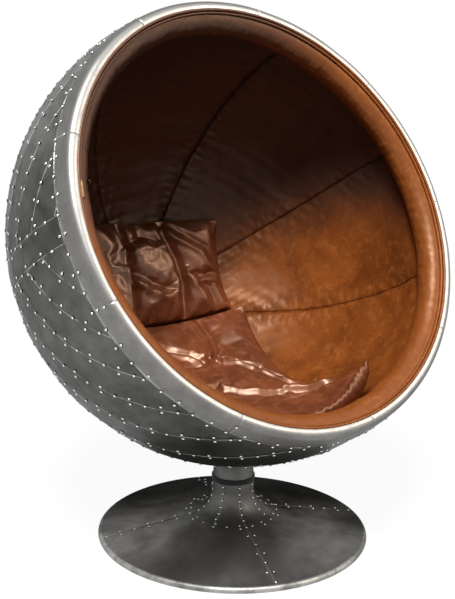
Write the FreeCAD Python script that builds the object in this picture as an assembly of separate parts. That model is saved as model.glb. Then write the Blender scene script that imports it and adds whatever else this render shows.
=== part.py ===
import FreeCAD, Part
import math
import os

from FreeCAD import Placement, Rotation, Vector

# Swivel ball chair: riveted aluminium sheet over a moulded shell, a leather
# lined mouth and two loose cushions, on a trumpet pedestal that it turns on.
# Millimetres. The origin is on the swivel axis at the floor. The chair faces
# -Y and +Z is up. Ball pieces are drawn in the ball's own frame, with its
# centre at 0 and +Z out of the mouth, and are then put in place.

# Ball
ball_radius = 540.0
ball_centre_forward = 10.0
mouth_tilt = 26.2
sheet = 1.2
seat_gap = 0.3

# Front band and its rolled lip
ring_seam_polar = 76.0
mouth_polar = 72.4
lip_radius = 16.0
lip_end_angle = -25.0
lip_steps = 3
band_segments = 9

# Side belt and the slanted strips in the four quarters of the ball
belt_low = -38.0
belt_high = 22.0
strip_turn = 33.5
strip_tilt = 28.3
lower_first_edge = -36.1
lower_strip_width = 6.9
lower_strip_growth = 0.8
upper_first_edge = -35.2
upper_strip_width = 8.0

# Moulded hull
hull_wall = 9.0
hull_bands = 8
foot_drop = 13.0

# Padded lining
lining_thickness = 36.0
lining_bands = 8
lining_front_polar = 79.0
side_gore_angle = 40.0
gore_names = ("upper_right", "top", "upper_left", "left",
              "lower_left", "bottom", "lower_right", "right")

# Padded roll and double piping round the mouth
roll_depth = 26.0
roll_steps = 4
piping_width = 11.0
piping_height = 9.0
piping_crown = 3.5
piping_steps = 3
sleeve_thickness = 1.5
sleeve_azimuth = 174.0
sleeve_angle = 5.0

# Loose cushions, by their elevation and half angle as seen from the ball's centre
cushion_edge = 22.0
cushion_spans = 6
seat_back_angle = -37.5
seat_front_angle = -126.0
seat_half_angle = 33.0
seat_side_draw = 2.5
seat_end_thickness = 34.0
seat_crown = 78.0
back_low_angle = -36.5
back_high_angle = -1.5
back_half_angle = 29.5
back_side_draw = 2.0
back_end_thickness = 36.0
back_crown = 50.0

# Plate and block inside the hull
block_width = 120.0
block_edge = 6.0
plate_width = 110.0
plate_thickness = 5.0
pocket_gap = 2.0

# Swivel hub and its bolts
hub_rise = 53.0
hub_clearance = 0.5
hub_flange_thickness = 12.0
hub_sleeve_wall = 7.0
hub_foot_thickness = 5.0
hub_bolt_edge = 8.0
hub_bolt_radius = 5.0
hub_bolt_flats = 17.0
hub_bolt_head = 6.4
hub_nut_height = 8.0
hub_bolt_tail = 3.0
bolt_clearance = 0.5

# Spindle, its nut and the bush that it turns in
spindle_radius = 17.5
thread_radius = 12.0
thread_tail = 8.0
nut_flats = 36.0
nut_height = 12.0
nut_flange_radius = 24.0
nut_flange_thickness = 4.0
nut_room = 2.0
bush_bottom = 40.0
bush_wall = 3.0
running_gap = 0.05
thrust_gap = 0.1

# Turning collar under the ball and the ring that it turns on
collar_radius = 49.0
collar_foot_flare = 1.5
collar_flare = 5.5
collar_lift = 0.5
collar_steps = 4
collar_trim = 3.0
bearing_ring_radius = 53.5
bearing_ring_thickness = 12.0

# Pedestal
floor_pad_inset = 3.0
floor_pad_thickness = 4.0
ballast_room = 4.0
ballast_thickness = 10.0
neck_top = 135.0
neck_radius = 52.0
flare_radius = 60.0
flare_foot_radius = 105.0
flare_foot_height = 53.0
flare_steps = 4
neck_staves = 8
panel_edge_radius = 325.0
panel_edge_height = 13.5
panel_seam_azimuth = -109.3
panel_names = ("front", "right", "back", "left")
former_wall = 4.0
former_inner_radius = 85.0
former_skirt = 6.0
edge_ring_lift = 1.0
edge_ring_width = 6.0
edge_ring_crown = 4.5
edge_ring_steps = 3

# Column
column_wall = 4.0
column_head_thickness = 6.0
column_foot_width = 150.0
column_foot_thickness = 8.0
column_bolt_spacing = 110.0
column_bolt_radius = 4.0
column_bolt_flats = 13.0
column_bolt_head = 5.3

# Places worked out from the sizes above: the hub's top carries the hull's foot
foot_height = neck_top + hub_rise
ball_centre_height = foot_height + foot_drop + ball_radius
ball_centre = Vector(0, -ball_centre_forward, ball_centre_height)
ball_place = Placement(ball_centre, Rotation(Vector(1, 0, 0), 90 - mouth_tilt))
lip_circle_radius = (ball_radius - lip_radius) * math.sin(math.radians(mouth_polar))
lip_level = (ball_radius - lip_radius) * math.cos(math.radians(mouth_polar))
ring_seam_level = ball_radius * math.cos(math.radians(ring_seam_polar))
ballast_top = floor_pad_thickness + ballast_thickness
column_foot_top = ballast_top + column_foot_thickness
hub_reach = collar_radius - sheet - hub_clearance
hub_flange_side = math.sqrt(2) * hub_reach
hub_bolt_spacing = hub_flange_side - 2 * hub_bolt_edge
hub_bottom = neck_top + bearing_ring_thickness + thrust_gap
hub_flange_bottom = foot_height - hub_flange_thickness
bush_outer_radius = spindle_radius + running_gap + bush_wall
nut_top = bush_bottom - thrust_gap
nut_chamber_radius = nut_flange_radius + nut_room


def polar(radius, angle):
    """Point (distance from the axis, level) at a polar angle from +Z."""
    turn = math.radians(angle)
    return (radius * math.sin(turn), radius * math.cos(turn))


def spread(first, last, count):
    """Evenly spaced values from first to last, both included."""
    return [first + (last - first) * i / count for i in range(count + 1)]


def bulge(start, end, depth, count):
    """Points on the arc from start to end that stands depth to the right of its chord."""
    across, up = end[0] - start[0], end[1] - start[1]
    chord = math.hypot(across, up)
    radius = (chord ** 2 / 4 + depth ** 2) / (2 * depth)
    sink = radius - depth
    middle = ((start[0] + end[0]) / 2 - sink * up / chord,
              (start[1] + end[1]) / 2 + sink * across / chord)
    half = math.asin(min(1.0, chord / 2 / radius))
    if sink < 0:
        half = math.pi - half
    away = math.atan2(-across, up)
    turns = spread(away - half, away + half, count)
    return [(middle[0] + radius * math.cos(t), middle[1] + radius * math.sin(t)) for t in turns]


def turned(profile, start=0.0, angle=360.0):
    """Solid turned about Z from a closed profile of (distance, level) points."""
    points = [Vector(out, 0, up) for out, up in profile]
    face = Part.Face(Part.makePolygon(points + points[:1]))
    solid = face.revolve(Vector(0, 0, 0), Vector(0, 0, 1), angle)
    solid.rotate(Vector(0, 0, 0), Vector(0, 0, 1), start)
    return solid


def tube(outer, inner, low, high):
    """Round tube standing on Z."""
    return turned([(inner, low), (outer, low), (outer, high), (inner, high)])


def rod(radius, low, high, place=(0, 0)):
    """Round rod standing on Z."""
    return Part.makeCylinder(radius, high - low, Vector(place[0], place[1], low))


def square(side, low, high):
    """Square plate centred on Z."""
    return Part.makeBox(side, side, high - low, Vector(-side / 2, -side / 2, low))


def hexagon(flats, low, high, place=(0, 0)):
    """Hexagonal prism standing on Z, by its size across flats."""
    reach = flats / math.sqrt(3)
    turns = [math.radians(60 * i) for i in range(7)]
    points = [Vector(place[0] + reach * math.cos(t), place[1] + reach * math.sin(t), low)
              for t in turns]
    return Part.Face(Part.makePolygon(points)).extrude(Vector(0, 0, high - low))


def corners(spacing):
    """The four places of a square bolt pattern."""
    half = spacing / 2
    return [(x, y) for x in (-half, half) for y in (-half, half)]


def drilled(shape, radius, spacing, low, high):
    """The shape with four holes in a square pattern."""
    for place in corners(spacing):
        shape = shape.cut(rod(radius, low, high, place))
    return shape


def in_ball(shape):
    """Put a shape drawn in the ball's frame in its place."""
    placed = shape.copy()
    placed.Placement = ball_place.multiply(placed.Placement)
    return placed


def save(name, *solids):
    """Write one named piece, or a group of like pieces, as one STEP file."""
    shape = solids[0] if len(solids) == 1 else Part.makeCompound(list(solids))
    shape.exportStep("parts/" + name + ".step")


# Sheet cladding of the ball

def strip_edges(first, width, last, growth=0.0):
    """Latitudes of the strips' edges, from two strips before the first to past the last."""
    edges = [first - 2 * width, first - width, first]
    while edges[-1] < last:
        edges.append(edges[-1] + width)
        width += growth
    return edges


strip_axis_back = math.cos(math.radians(strip_turn)) * math.cos(math.radians(strip_tilt))
strip_axis_aside = math.sin(math.radians(strip_turn))
strip_axis_rise = math.cos(math.radians(strip_turn)) * math.sin(math.radians(strip_tilt))
last_latitude = 90.0 - strip_turn
lower_edges = strip_edges(lower_first_edge, lower_strip_width, last_latitude, lower_strip_growth)
upper_edges = strip_edges(upper_first_edge, upper_strip_width, last_latitude)
widest_strip = max(b - a for edges in (lower_edges, upper_edges) for a, b in zip(edges, edges[1:]))
cladding_inner = (ball_radius - sheet) * math.cos(math.radians(widest_strip / 2))
room_size = 2 * ball_radius


def quarter_sheet(edges, rise):
    """Strips of the left half, above (rise 1) or below (rise -1) the belt.

    Each strip is flat across and bent along: a cone about one slanted axis.
    """
    outside = [polar(ball_radius, 90 - edge) for edge in edges]
    inside = [polar(ball_radius - sheet, 90 - edge) for edge in reversed(edges)]
    bands = turned(outside + inside)
    axis = Vector(strip_axis_aside, rise * strip_axis_rise, -strip_axis_back)
    bands.Placement = Placement(Vector(), Rotation(Vector(0, 0, 1), axis))
    low = belt_high if rise > 0 else belt_low - room_size
    room = Part.makeBox(room_size, room_size, room_size,
                        Vector(-room_size, low, ring_seam_level - room_size))
    return bands.common(room)


def belt_sheet():
    """One strip from the ring seam round the back to the ring seam."""
    profile = [(math.sqrt(ball_radius ** 2 - y ** 2), y) for y in (belt_low, belt_high)]
    profile += [(out - sheet, y) for out, y in reversed(profile)]
    band = turned(profile)
    band.Placement = Placement(Vector(), Rotation(Vector(1, 0, 0), -90))
    room = Part.makeBox(2 * room_size, 2 * room_size, room_size,
                        Vector(-room_size, -room_size, ring_seam_level - room_size))
    return band.common(room)


def lip_points(radius):
    """Points of the lip's round section, from the ball's surface to the leather."""
    turns = [math.radians(a) for a in spread(mouth_polar, lip_end_angle, lip_steps)]
    return [(lip_circle_radius + radius * math.sin(t), lip_level + radius * math.cos(t))
            for t in turns]


def front_band():
    """Plain band from the ring seam over the rolled lip, in like segments."""
    seam = [(math.sqrt(radius ** 2 - ring_seam_level ** 2), ring_seam_level)
            for radius in (ball_radius, ball_radius - sheet)]
    outside = seam[:1] + lip_points(lip_radius)
    inside = seam[1:] + lip_points(lip_radius - sheet)
    pitch = 360.0 / band_segments
    return [in_ball(turned(outside + inside[::-1], i * pitch, pitch))
            for i in range(band_segments)]


def cladding():
    """Belt, four quarters and front band."""
    save("side_belt", in_ball(belt_sheet()))
    save("front_band", *front_band())
    foot_hole = rod(collar_radius - sheet, 0, ball_centre_height)
    for name, edges, rise in (("lower", lower_edges, -1), ("upper", upper_edges, 1)):
        left = in_ball(quarter_sheet(edges, rise))
        if rise < 0:
            left = left.cut(foot_hole)
        save("cladding_" + name + "_left", left)
        save("cladding_" + name + "_right", left.mirror(Vector(), Vector(1, 0, 0)))


# Moulded hull, its block and plate

hull_radius = cladding_inner - seat_gap
hull_inner = hull_radius - hull_wall
hull_angles = spread(ring_seam_polar, 180.0, hull_bands)
hull_half_band = math.radians((180.0 - ring_seam_polar) / hull_bands / 2)
foot_radius = collar_radius - sheet - seat_gap
block_corner = math.hypot(block_width / 2, block_width / 2 + ball_centre_forward)
block_top = block_edge + ball_centre_height - math.sqrt(
    (hull_inner * math.cos(hull_half_band)) ** 2 - block_corner ** 2)
plate_top = block_top + plate_thickness


def hull_cavity():
    """All the room inside the hull."""
    inside = [polar(hull_inner, angle) for angle in hull_angles]
    return in_ball(turned([(0, inside[0][1])] + inside))


def hull():
    """Shell with a moulded bead round its mouth and a flat foot under it."""
    outside = [polar(hull_radius, angle) for angle in reversed(hull_angles)]
    bead = lip_points(lip_radius - sheet - seat_gap)
    inside = [polar(hull_inner, angle) for angle in hull_angles]
    shell = in_ball(turned(outside + bead + inside))
    foot = rod(foot_radius, foot_height, ball_centre_height).cut(hull_cavity())
    hole = hub_bolt_radius + bolt_clearance
    return drilled(shell.fuse(foot), hole, hub_bolt_spacing, 0, ball_centre_height)


def hull_pieces():
    """Hull, the block that levels its inside, and the plate on the block."""
    hole = hub_bolt_radius + bolt_clearance
    save("hull", hull())
    block = square(block_width, foot_height, block_top).common(hull_cavity())
    save("levelling_block", drilled(block, hole, hub_bolt_spacing, 0, block_top))
    plate = square(plate_width, block_top, plate_top)
    save("backing_plate", drilled(plate, hole, hub_bolt_spacing, 0, plate_top))


# Leather

lining_inner = hull_inner - lining_thickness
lining_half_band = math.radians((180.0 - lining_front_polar) / lining_bands / 2)
cushion_bed = lining_inner * math.cos(lining_half_band) - seat_gap


def lining_outer_front():
    """Where the lining's front meets the hull's first band."""
    middle = math.degrees(hull_half_band) + ring_seam_polar
    chord = (hull_inner - seat_gap) * math.cos(hull_half_band)
    return polar(chord / math.cos(math.radians(lining_front_polar - middle)), lining_front_polar)


def gore_seams():
    """Azimuths of the lining's seams: the two side gores are narrower than the rest."""
    half = side_gore_angle / 2
    rest = (180 - side_gore_angle) / (len(gore_names) // 2 - 1)
    upper = [half + rest * i for i in range(len(gore_names) // 2)]
    return upper + [180 + angle for angle in upper] + [360 + half]


def lining():
    """Padded gores from the back of the ball to the roll."""
    outside = [polar(hull_inner - seat_gap, angle) for angle in reversed(hull_angles[1:])]
    outside.append(lining_outer_front())
    inside = [polar(lining_inner, angle)
              for angle in spread(lining_front_polar, 180.0, lining_bands)]
    pocket = square(block_width + 2 * pocket_gap, 0, plate_top + hub_bolt_head + pocket_gap)
    seams = gore_seams()
    for name, seam, next_seam in zip(gore_names, seams, seams[1:]):
        gore = in_ball(turned(outside + inside, seam, next_seam - seam))
        save("lining_" + name, gore.cut(pocket))


def mouth_trim():
    """Padded roll, double piping and the small sleeve over the piping."""
    lip_end, piping_top = lip_points(lip_radius)[-1]
    base = piping_top - piping_height
    outer = lip_end - seat_gap
    inner = outer - piping_width
    bead = bulge((outer, piping_top), (inner, base), piping_crown, piping_steps)
    save("double_piping", in_ball(turned([(outer, base)] + bead)))
    wrap = bulge((outer, piping_top), (inner, base), piping_crown + sleeve_thickness, piping_steps)
    start = sleeve_azimuth - sleeve_angle / 2
    save("piping_sleeve", in_ball(turned(wrap + bead[-2:0:-1], start, sleeve_angle)))
    crest = bulge((inner, base - seat_gap), polar(lining_inner, lining_front_polar),
                  roll_depth, roll_steps)
    front = (outer + seat_gap, base - seat_gap)
    save("rim_roll", in_ball(turned([lining_outer_front(), front] + crest)))


def cushion(first, last, half_angle, side_draw, end_thickness, crown):
    """Pad lying in the ball, crowned in the middle and drawn in at its sides.

    Sections stand on the X axis through the ball's centre. Each has an arc on
    the lining, two short edges and a crown arc.
    """
    bed, edge = cushion_bed, cushion_bed - cushion_edge
    wires = []
    for i, angle in enumerate(spread(first, last, cushion_spans)):
        swell = math.sin(math.pi * i / cushion_spans)
        reach = math.radians(half_angle - side_draw * swell)
        out = Vector(0, math.cos(math.radians(angle)), math.sin(math.radians(angle)))

        def place(radius, turn):
            return Vector(radius * math.sin(turn), 0, 0) + out * (radius * math.cos(turn))

        crest = out * (bed - end_thickness - crown * swell)
        wires.append(Part.Wire([
            Part.Arc(place(bed, -reach), out * bed, place(bed, reach)).toShape(),
            Part.LineSegment(place(bed, reach), place(edge, reach)).toShape(),
            Part.Arc(place(edge, reach), crest, place(edge, -reach)).toShape(),
            Part.LineSegment(place(edge, -reach), place(bed, -reach)).toShape()]))
    pad = Part.makeLoft(wires, True, True)
    pad.translate(ball_centre)
    return pad


def cushions():
    """Seat cushion and back cushion."""
    save("seat_cushion", cushion(seat_back_angle, seat_front_angle, seat_half_angle,
                                 seat_side_draw, seat_end_thickness, seat_crown))
    save("back_cushion", cushion(back_low_angle, back_high_angle, back_half_angle,
                                 back_side_draw, back_end_thickness, back_crown))


# Swivel

def swivel_pieces():
    """Hub, spindle, nut, bolts, collar, bearing ring and bush."""
    hub = tube(hub_reach, spindle_radius, hub_bottom, hub_bottom + hub_foot_thickness)
    hub = hub.fuse(tube(spindle_radius + hub_sleeve_wall, spindle_radius, hub_bottom, foot_height))
    flange = square(hub_flange_side, hub_flange_bottom, foot_height)
    hub = hub.fuse(flange.cut(rod(spindle_radius, 0, foot_height)))
    hole = hub_bolt_radius + bolt_clearance
    save("swivel_hub", drilled(hub, hole, hub_bolt_spacing, hub_flange_bottom, foot_height))
    nut_bottom = nut_top - nut_height
    spindle = rod(spindle_radius, nut_top, foot_height)
    save("spindle", spindle.fuse(rod(thread_radius, nut_bottom - thread_tail, nut_top)))
    nut = rod(nut_flange_radius, nut_top - nut_flange_thickness, nut_top)
    nut = nut.fuse(hexagon(nut_flats, nut_bottom, nut_top - nut_flange_thickness))
    save("spindle_nut", nut.cut(rod(thread_radius, 0, nut_top)))
    hub_nut_bottom = hub_flange_bottom - hub_nut_height
    bolts = []
    nuts = []
    for place in corners(hub_bolt_spacing):
        head = hexagon(hub_bolt_flats, plate_top, plate_top + hub_bolt_head, place)
        shank = rod(hub_bolt_radius, hub_nut_bottom - hub_bolt_tail, plate_top, place)
        bolts.append(head.fuse(shank))
        body = hexagon(hub_bolt_flats, hub_nut_bottom, hub_flange_bottom, place)
        nuts.append(body.cut(rod(hub_bolt_radius, 0, foot_height, place)))
    save("hub_bolts", *bolts)
    save("hub_nuts", *nuts)
    save("swivel_bush", tube(bush_outer_radius, spindle_radius + running_gap, bush_bottom, neck_top))
    save("bearing_ring", tube(bearing_ring_radius, bush_outer_radius, neck_top,
                              neck_top + bearing_ring_thickness))


def collar():
    """Waisted sleeve of sheet round the hull's foot, with its top cut to lie under the ball.

    The ball meets so narrow a sleeve along a circle that is flat but for a
    hair, and tilted because the ball's centre is forward of the swivel axis.
    """
    bottom = neck_top + bearing_ring_thickness + collar_lift
    bottom_radius = collar_radius + collar_foot_flare
    flared = collar_radius + collar_flare
    reach = math.hypot(flared, ball_centre_forward)
    top = ball_centre_height - math.sqrt(ball_radius ** 2 - reach ** 2) - seat_gap
    waist = (bottom_radius + flared) / 2 - collar_radius
    outside = bulge((flared, top + collar_trim), (bottom_radius, bottom), waist, collar_steps)
    inside = [(out - sheet, up) for out, up in reversed(outside)]
    waste = square(4 * flared, 0, ball_radius)
    tilt = math.degrees(math.asin(ball_centre_forward / ball_radius))
    waste.Placement = Placement(Vector(0, 0, top), Rotation(Vector(1, 0, 0), tilt))
    save("collar", turned(outside + inside).cut(waste))


# Pedestal

panel_slope = math.atan2(flare_foot_height - panel_edge_height,
                         panel_edge_radius - flare_foot_radius)


def under_panels(radius, depth):
    """Point at a distance from the axis, depth below the panels' top face."""
    drop = (radius - flare_foot_radius) * math.tan(panel_slope)
    return (radius, flare_foot_height - drop - depth / math.cos(panel_slope))


def neck():
    """Staves of the neck: on the panels' slope at the foot, then an arc, then upright."""
    out = neck_radius + flare_radius
    up = under_panels(out, -flare_radius)[1]
    turns = spread(panel_slope, math.pi / 2, flare_steps)
    outside = [(flare_foot_radius, flare_foot_height)]
    outside += [(out - flare_radius * math.sin(t), up - flare_radius * math.cos(t)) for t in turns]
    outside.append((neck_radius, neck_top))
    inner = flare_radius + sheet
    inside = [under_panels(flare_foot_radius, sheet)]
    inside += [(out - inner * math.sin(t), up - inner * math.cos(t)) for t in turns]
    inside.append((neck_radius - sheet, neck_top))
    pitch = 360.0 / neck_staves
    save("neck", *[turned(outside + inside[::-1], panel_seam_azimuth + i * pitch, pitch)
                   for i in range(neck_staves)])


def base_pieces():
    """Pad, ballast, former, four quarter panels and the edge ring."""
    save("floor_pad", rod(panel_edge_radius - floor_pad_inset, 0, floor_pad_thickness))
    under = under_panels(flare_foot_radius, sheet + former_wall)[1] - ballast_top - ballast_room
    ballast_radius = flare_foot_radius + under / math.tan(panel_slope)
    ballast = tube(ballast_radius, nut_chamber_radius, floor_pad_thickness, ballast_top)
    ballast = drilled(ballast, column_bolt_radius, column_bolt_spacing, 0, ballast_top)
    save("ballast_plate", ballast)
    skirt_inner = panel_edge_radius - former_skirt
    former = turned([
        under_panels(former_inner_radius, sheet),
        under_panels(former_inner_radius, sheet + former_wall),
        under_panels(skirt_inner, sheet + former_wall), (skirt_inner, floor_pad_thickness),
        (panel_edge_radius, floor_pad_thickness), under_panels(panel_edge_radius, sheet)])
    save("former", former)
    panel = [(flare_foot_radius, flare_foot_height), under_panels(flare_foot_radius, sheet),
             under_panels(panel_edge_radius, sheet), (panel_edge_radius, panel_edge_height)]
    for i, name in enumerate(panel_names):
        start = panel_seam_azimuth + 90.0 * i
        save("base_panel_" + name, turned(panel, start, 90.0))
    inner = panel_edge_radius + seat_gap
    edge = bulge((inner + edge_ring_width, edge_ring_lift), (inner, panel_edge_height),
                 edge_ring_crown, edge_ring_steps)
    save("edge_ring", turned([(inner, edge_ring_lift)] + edge))


def column():
    """Tube on a square foot, with a head for the bearing ring, and its bolts."""
    head_radius = neck_radius - sheet - seat_gap
    foot = square(column_foot_width, ballast_top, column_foot_top)
    post = rod(nut_chamber_radius + column_wall, ballast_top, neck_top)
    head = rod(head_radius, neck_top - column_head_thickness, neck_top)
    body = foot.fuse(post).fuse(head)
    body = body.cut(rod(bush_outer_radius, 0, neck_top))
    body = body.cut(rod(nut_chamber_radius, 0, bush_bottom))
    hole = column_bolt_radius + bolt_clearance
    save("column", drilled(body, hole, column_bolt_spacing, 0, column_foot_top))
    bolts = []
    for place in corners(column_bolt_spacing):
        head = hexagon(column_bolt_flats, column_foot_top, column_foot_top + column_bolt_head, place)
        shank = rod(column_bolt_radius, floor_pad_thickness, column_foot_top, place)
        bolts.append(head.fuse(shank))
    save("column_bolts", *bolts)


os.makedirs("parts", exist_ok=True)
cladding()
hull_pieces()
lining()
mouth_trim()
cushions()
swivel_pieces()
collar()
neck()
base_pieces()
column()
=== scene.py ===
"""Swivel ball chair: a riveted aluminium ball lined with cognac leather, on a trumpet pedestal.

Ball pieces are worked out in the ball's own frame: x to the right, y up along
the mouth, z out of the mouth, with the ball's centre at 0. ball_to_world puts
them in place. All sizes are in metres.
"""
import math

import bpy
import numpy as np
from bpy.props import FloatProperty, IntProperty, PointerProperty, StringProperty
from bpy.types import Operator, Panel, PropertyGroup
from mathutils import Matrix, Vector


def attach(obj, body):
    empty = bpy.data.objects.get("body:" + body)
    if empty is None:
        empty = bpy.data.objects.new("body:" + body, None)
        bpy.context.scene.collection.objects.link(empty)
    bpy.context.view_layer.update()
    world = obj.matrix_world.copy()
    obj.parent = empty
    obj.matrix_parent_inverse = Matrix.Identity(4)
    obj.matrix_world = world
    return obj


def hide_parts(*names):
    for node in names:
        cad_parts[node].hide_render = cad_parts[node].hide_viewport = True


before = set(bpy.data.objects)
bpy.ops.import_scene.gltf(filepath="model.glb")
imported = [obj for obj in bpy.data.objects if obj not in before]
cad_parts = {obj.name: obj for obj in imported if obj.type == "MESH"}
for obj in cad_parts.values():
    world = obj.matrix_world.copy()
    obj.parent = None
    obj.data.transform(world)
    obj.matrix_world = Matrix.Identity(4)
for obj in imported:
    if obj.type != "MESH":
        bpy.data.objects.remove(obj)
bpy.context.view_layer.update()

bl_info = {
    "name": "Riveted ball chair",
    "version": (1, 0, 0),
    "blender": (4, 5, 0),
    "location": "View3D > Sidebar > Ball Chair",
    "description": "Makes a riveted aluminium ball chair with leather lining and cushions",
    "category": "Add Mesh",
}


def length(name, description, default):
    """A length in metres that a user may change."""
    return FloatProperty(name=name, description=description, default=default,
                         unit="LENGTH", precision=4)


def angle(name, description, degrees):
    """An angle that a user may change, kept in radians."""
    return FloatProperty(name=name, description=description, default=math.radians(degrees),
                         subtype="ANGLE")


def finish_colour(name, description, hex_value):
    """A finish's colour as an sRGB hex value."""
    return StringProperty(name=name, description=description, default=hex_value)


class BallSizes(PropertyGroup):
    """The ball, its front band and its lip."""

    radius: length("Ball radius", "Outer radius of the cladding", 0.540)
    height: length("Centre height", "Height of the ball's centre over the floor", 0.741)
    forward: length("Centre forward", "How far the centre is ahead of the swivel axis", 0.010)
    tilt: angle("Mouth tilt", "How far the mouth looks up", 26.2)
    sheet: length("Sheet", "Thickness of the sheet metal", 0.0012)
    ring_polar: angle("Ring seam", "Angle of the ring seam from the mouth's axis", 76.0)
    mouth_polar: angle("Lip start", "Angle where the lip starts to roll", 72.4)
    lip_radius: length("Lip radius", "Radius of the rolled lip", 0.016)
    lip_end: angle("Lip end", "Where the rolled lip ends inside", -25.0)
    segments: IntProperty(name="Band segments", description="Pieces of the front band", default=9)


class CladdingSizes(PropertyGroup):
    """Belt, strips, seams and rivets of the ball."""

    belt_low: length("Belt low", "Lower edge of the side belt", -0.038)
    belt_high: length("Belt high", "Upper edge of the side belt", 0.022)
    strip_turn: angle("Strip turn", "How far the strips' axis turns aside", 33.5)
    strip_tilt: angle("Strip tilt", "How far the strips' axis tilts", 28.3)
    lower_first: angle("Lower first edge", "First seam of the lower quarters", -36.1)
    lower_width: angle("Lower width", "Width of the first lower strip", 6.9)
    lower_growth: angle("Lower growth", "How much wider each lower strip is", 0.8)
    upper_first: angle("Upper first edge", "First seam of the upper quarters", -35.2)
    upper_width: angle("Upper width", "Width of the upper strips", 8.0)
    seam: length("Seam", "Gap between two sheets", 0.0006)
    edge: length("Sheet edge", "Width that the shears turned down at a sheet's edge", 0.0018)
    edge_drop: length("Edge drop", "Depth of that edge", 0.0009)
    dent: length("Dents", "Height of the hand-formed sheets' waves", 0.0004)
    rivet_radius: length("Rivet radius", "Radius of a rivet's head", 0.0034)
    rivet_height: length("Rivet height", "Height of a rivet's head", 0.0024)
    rivet_pitch: length("Rivet pitch", "Distance from a rivet to the next pair", 0.034)
    rivet_pair: length("Rivet pair", "Distance between the two rivets of a pair", 0.017)


class LeatherSizes(PropertyGroup):
    """Lining, roll, piping and stitches."""

    lining: length("Lining radius", "Inner radius of the padded lining", 0.4899)
    lining_back: length("Lining back", "Radius of the lining's hidden side", 0.5240)
    front_polar: angle("Lining front", "Where the lining meets the roll", 79.0)
    side_gore: angle("Side gore", "Width of the two side gores", 40.0)
    gore_pairs: IntProperty(name="Gore pairs", description="Half the number of gores", default=4)
    seam_depth: length("Seam depth", "How deep the stitched seams lie", 0.0024)
    seam_width: length("Seam width", "How wide a seam's valley is", 0.0065)
    stitch: length("Stitch", "Length of a stitch", 0.006)
    stitch_gap: length("Stitch gap", "Distance from stitch to stitch", 0.009)
    gore_gap: length("Gore gap", "Half the gap between two gores", 0.00015)
    stitch_aside: length("Stitch aside", "How far a row of stitches is from its seam", 0.0042)
    pad_rise: length("Pad rise", "How far a gore stands in between its seams", 0.003)
    pucker: length("Pucker", "Height of the puckers beside a seam", 0.0008)
    pucker_pitch: length("Pucker pitch", "Distance from pucker to pucker", 0.021)
    crinkle: length("Crinkle", "Height of the crinkles near a seam", 0.0011)
    slack: length("Slack", "Height of the leather's slow waves", 0.0014)
    fine_slack: length("Fine slack", "Height of its quicker waves", 0.0005)
    roll_depth: length("Roll depth", "How far the padded roll stands in", 0.0265)
    roll_foot: length("Roll foot", "How far under the lip's end the roll starts", 0.009)
    roll_seam: length("Roll seam", "Depth of the roll's cross seams", 0.0022)
    roll_pucker: length("Roll puckers", "Height of the roll's puckers", 0.0010)
    piping: length("Piping width", "Room for the double piping", 0.011)
    bead: length("Bead", "Radius of one bead of the double piping", 0.0034)
    sleeve: angle("Sleeve", "Where the small sleeve wraps the piping", 173.4)
    sleeve_half: length("Sleeve half", "Half the sleeve's length", 0.0195)
    sleeve_width: length("Sleeve width", "Half the sleeve's width across the beads", 0.0066)
    sleeve_height: length("Sleeve height", "Half the sleeve's height", 0.0044)
    stud_radius: length("Stud radius", "Radius of the stud", 0.0045)
    stud_height: length("Stud height", "Height of the stud", 0.006)


class PedestalSizes(PropertyGroup):
    """Collar, neck, panels and edge of the pedestal."""

    collar: length("Collar waist", "Radius of the turning collar at its waist", 0.0490)
    collar_foot: length("Collar foot", "Radius of the collar on its ring", 0.0505)
    collar_head: length("Collar head", "Radius of the collar under the ball", 0.0545)
    collar_low: length("Collar low", "Lower edge of the collar", 0.1475)
    neck: length("Neck radius", "Radius of the neck at its top", 0.052)
    neck_top: length("Neck top", "Height of the neck", 0.135)
    flare_arc: length("Flare arc", "Radius of the arc between neck and panels", 0.060)
    flare: length("Flare radius", "Radius where the neck meets the panels", 0.105)
    flare_height: length("Flare height", "Height where the neck meets the panels", 0.053)
    panel: length("Panel radius", "Outer radius of the base panels", 0.325)
    panel_height: length("Panel height", "Height of the panels at their edge", 0.0135)
    seam_angle: angle("Panel seam", "Where the first panel seam lies", -109.3)
    staves: IntProperty(name="Staves", description="Staves of the neck", default=8)
    ring_width: length("Edge width", "Width of the edge ring at its foot", 0.006)
    ring_crown: length("Edge crown", "How far the edge ring bulges", 0.0045)
    first_rivet: length("First rivet", "Where a panel seam's first rivet is", 0.111)
    panel_pitch: length("Panel pitch", "Distance from rivet to rivet on a panel's seam", 0.0343)
    foot_rivets: IntProperty(name="Foot rivets", description="Rivets round the foot", default=22)
    foot_out: length("Foot rivets out", "How far they are outside the neck's foot", 0.004)
    foot_pair: length("Foot pair", "Half the distance of a pair there", 0.006)
    stave_pitch: length("Stave pitch", "Distance from rivet to rivet up a stave", 0.0165)


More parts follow.
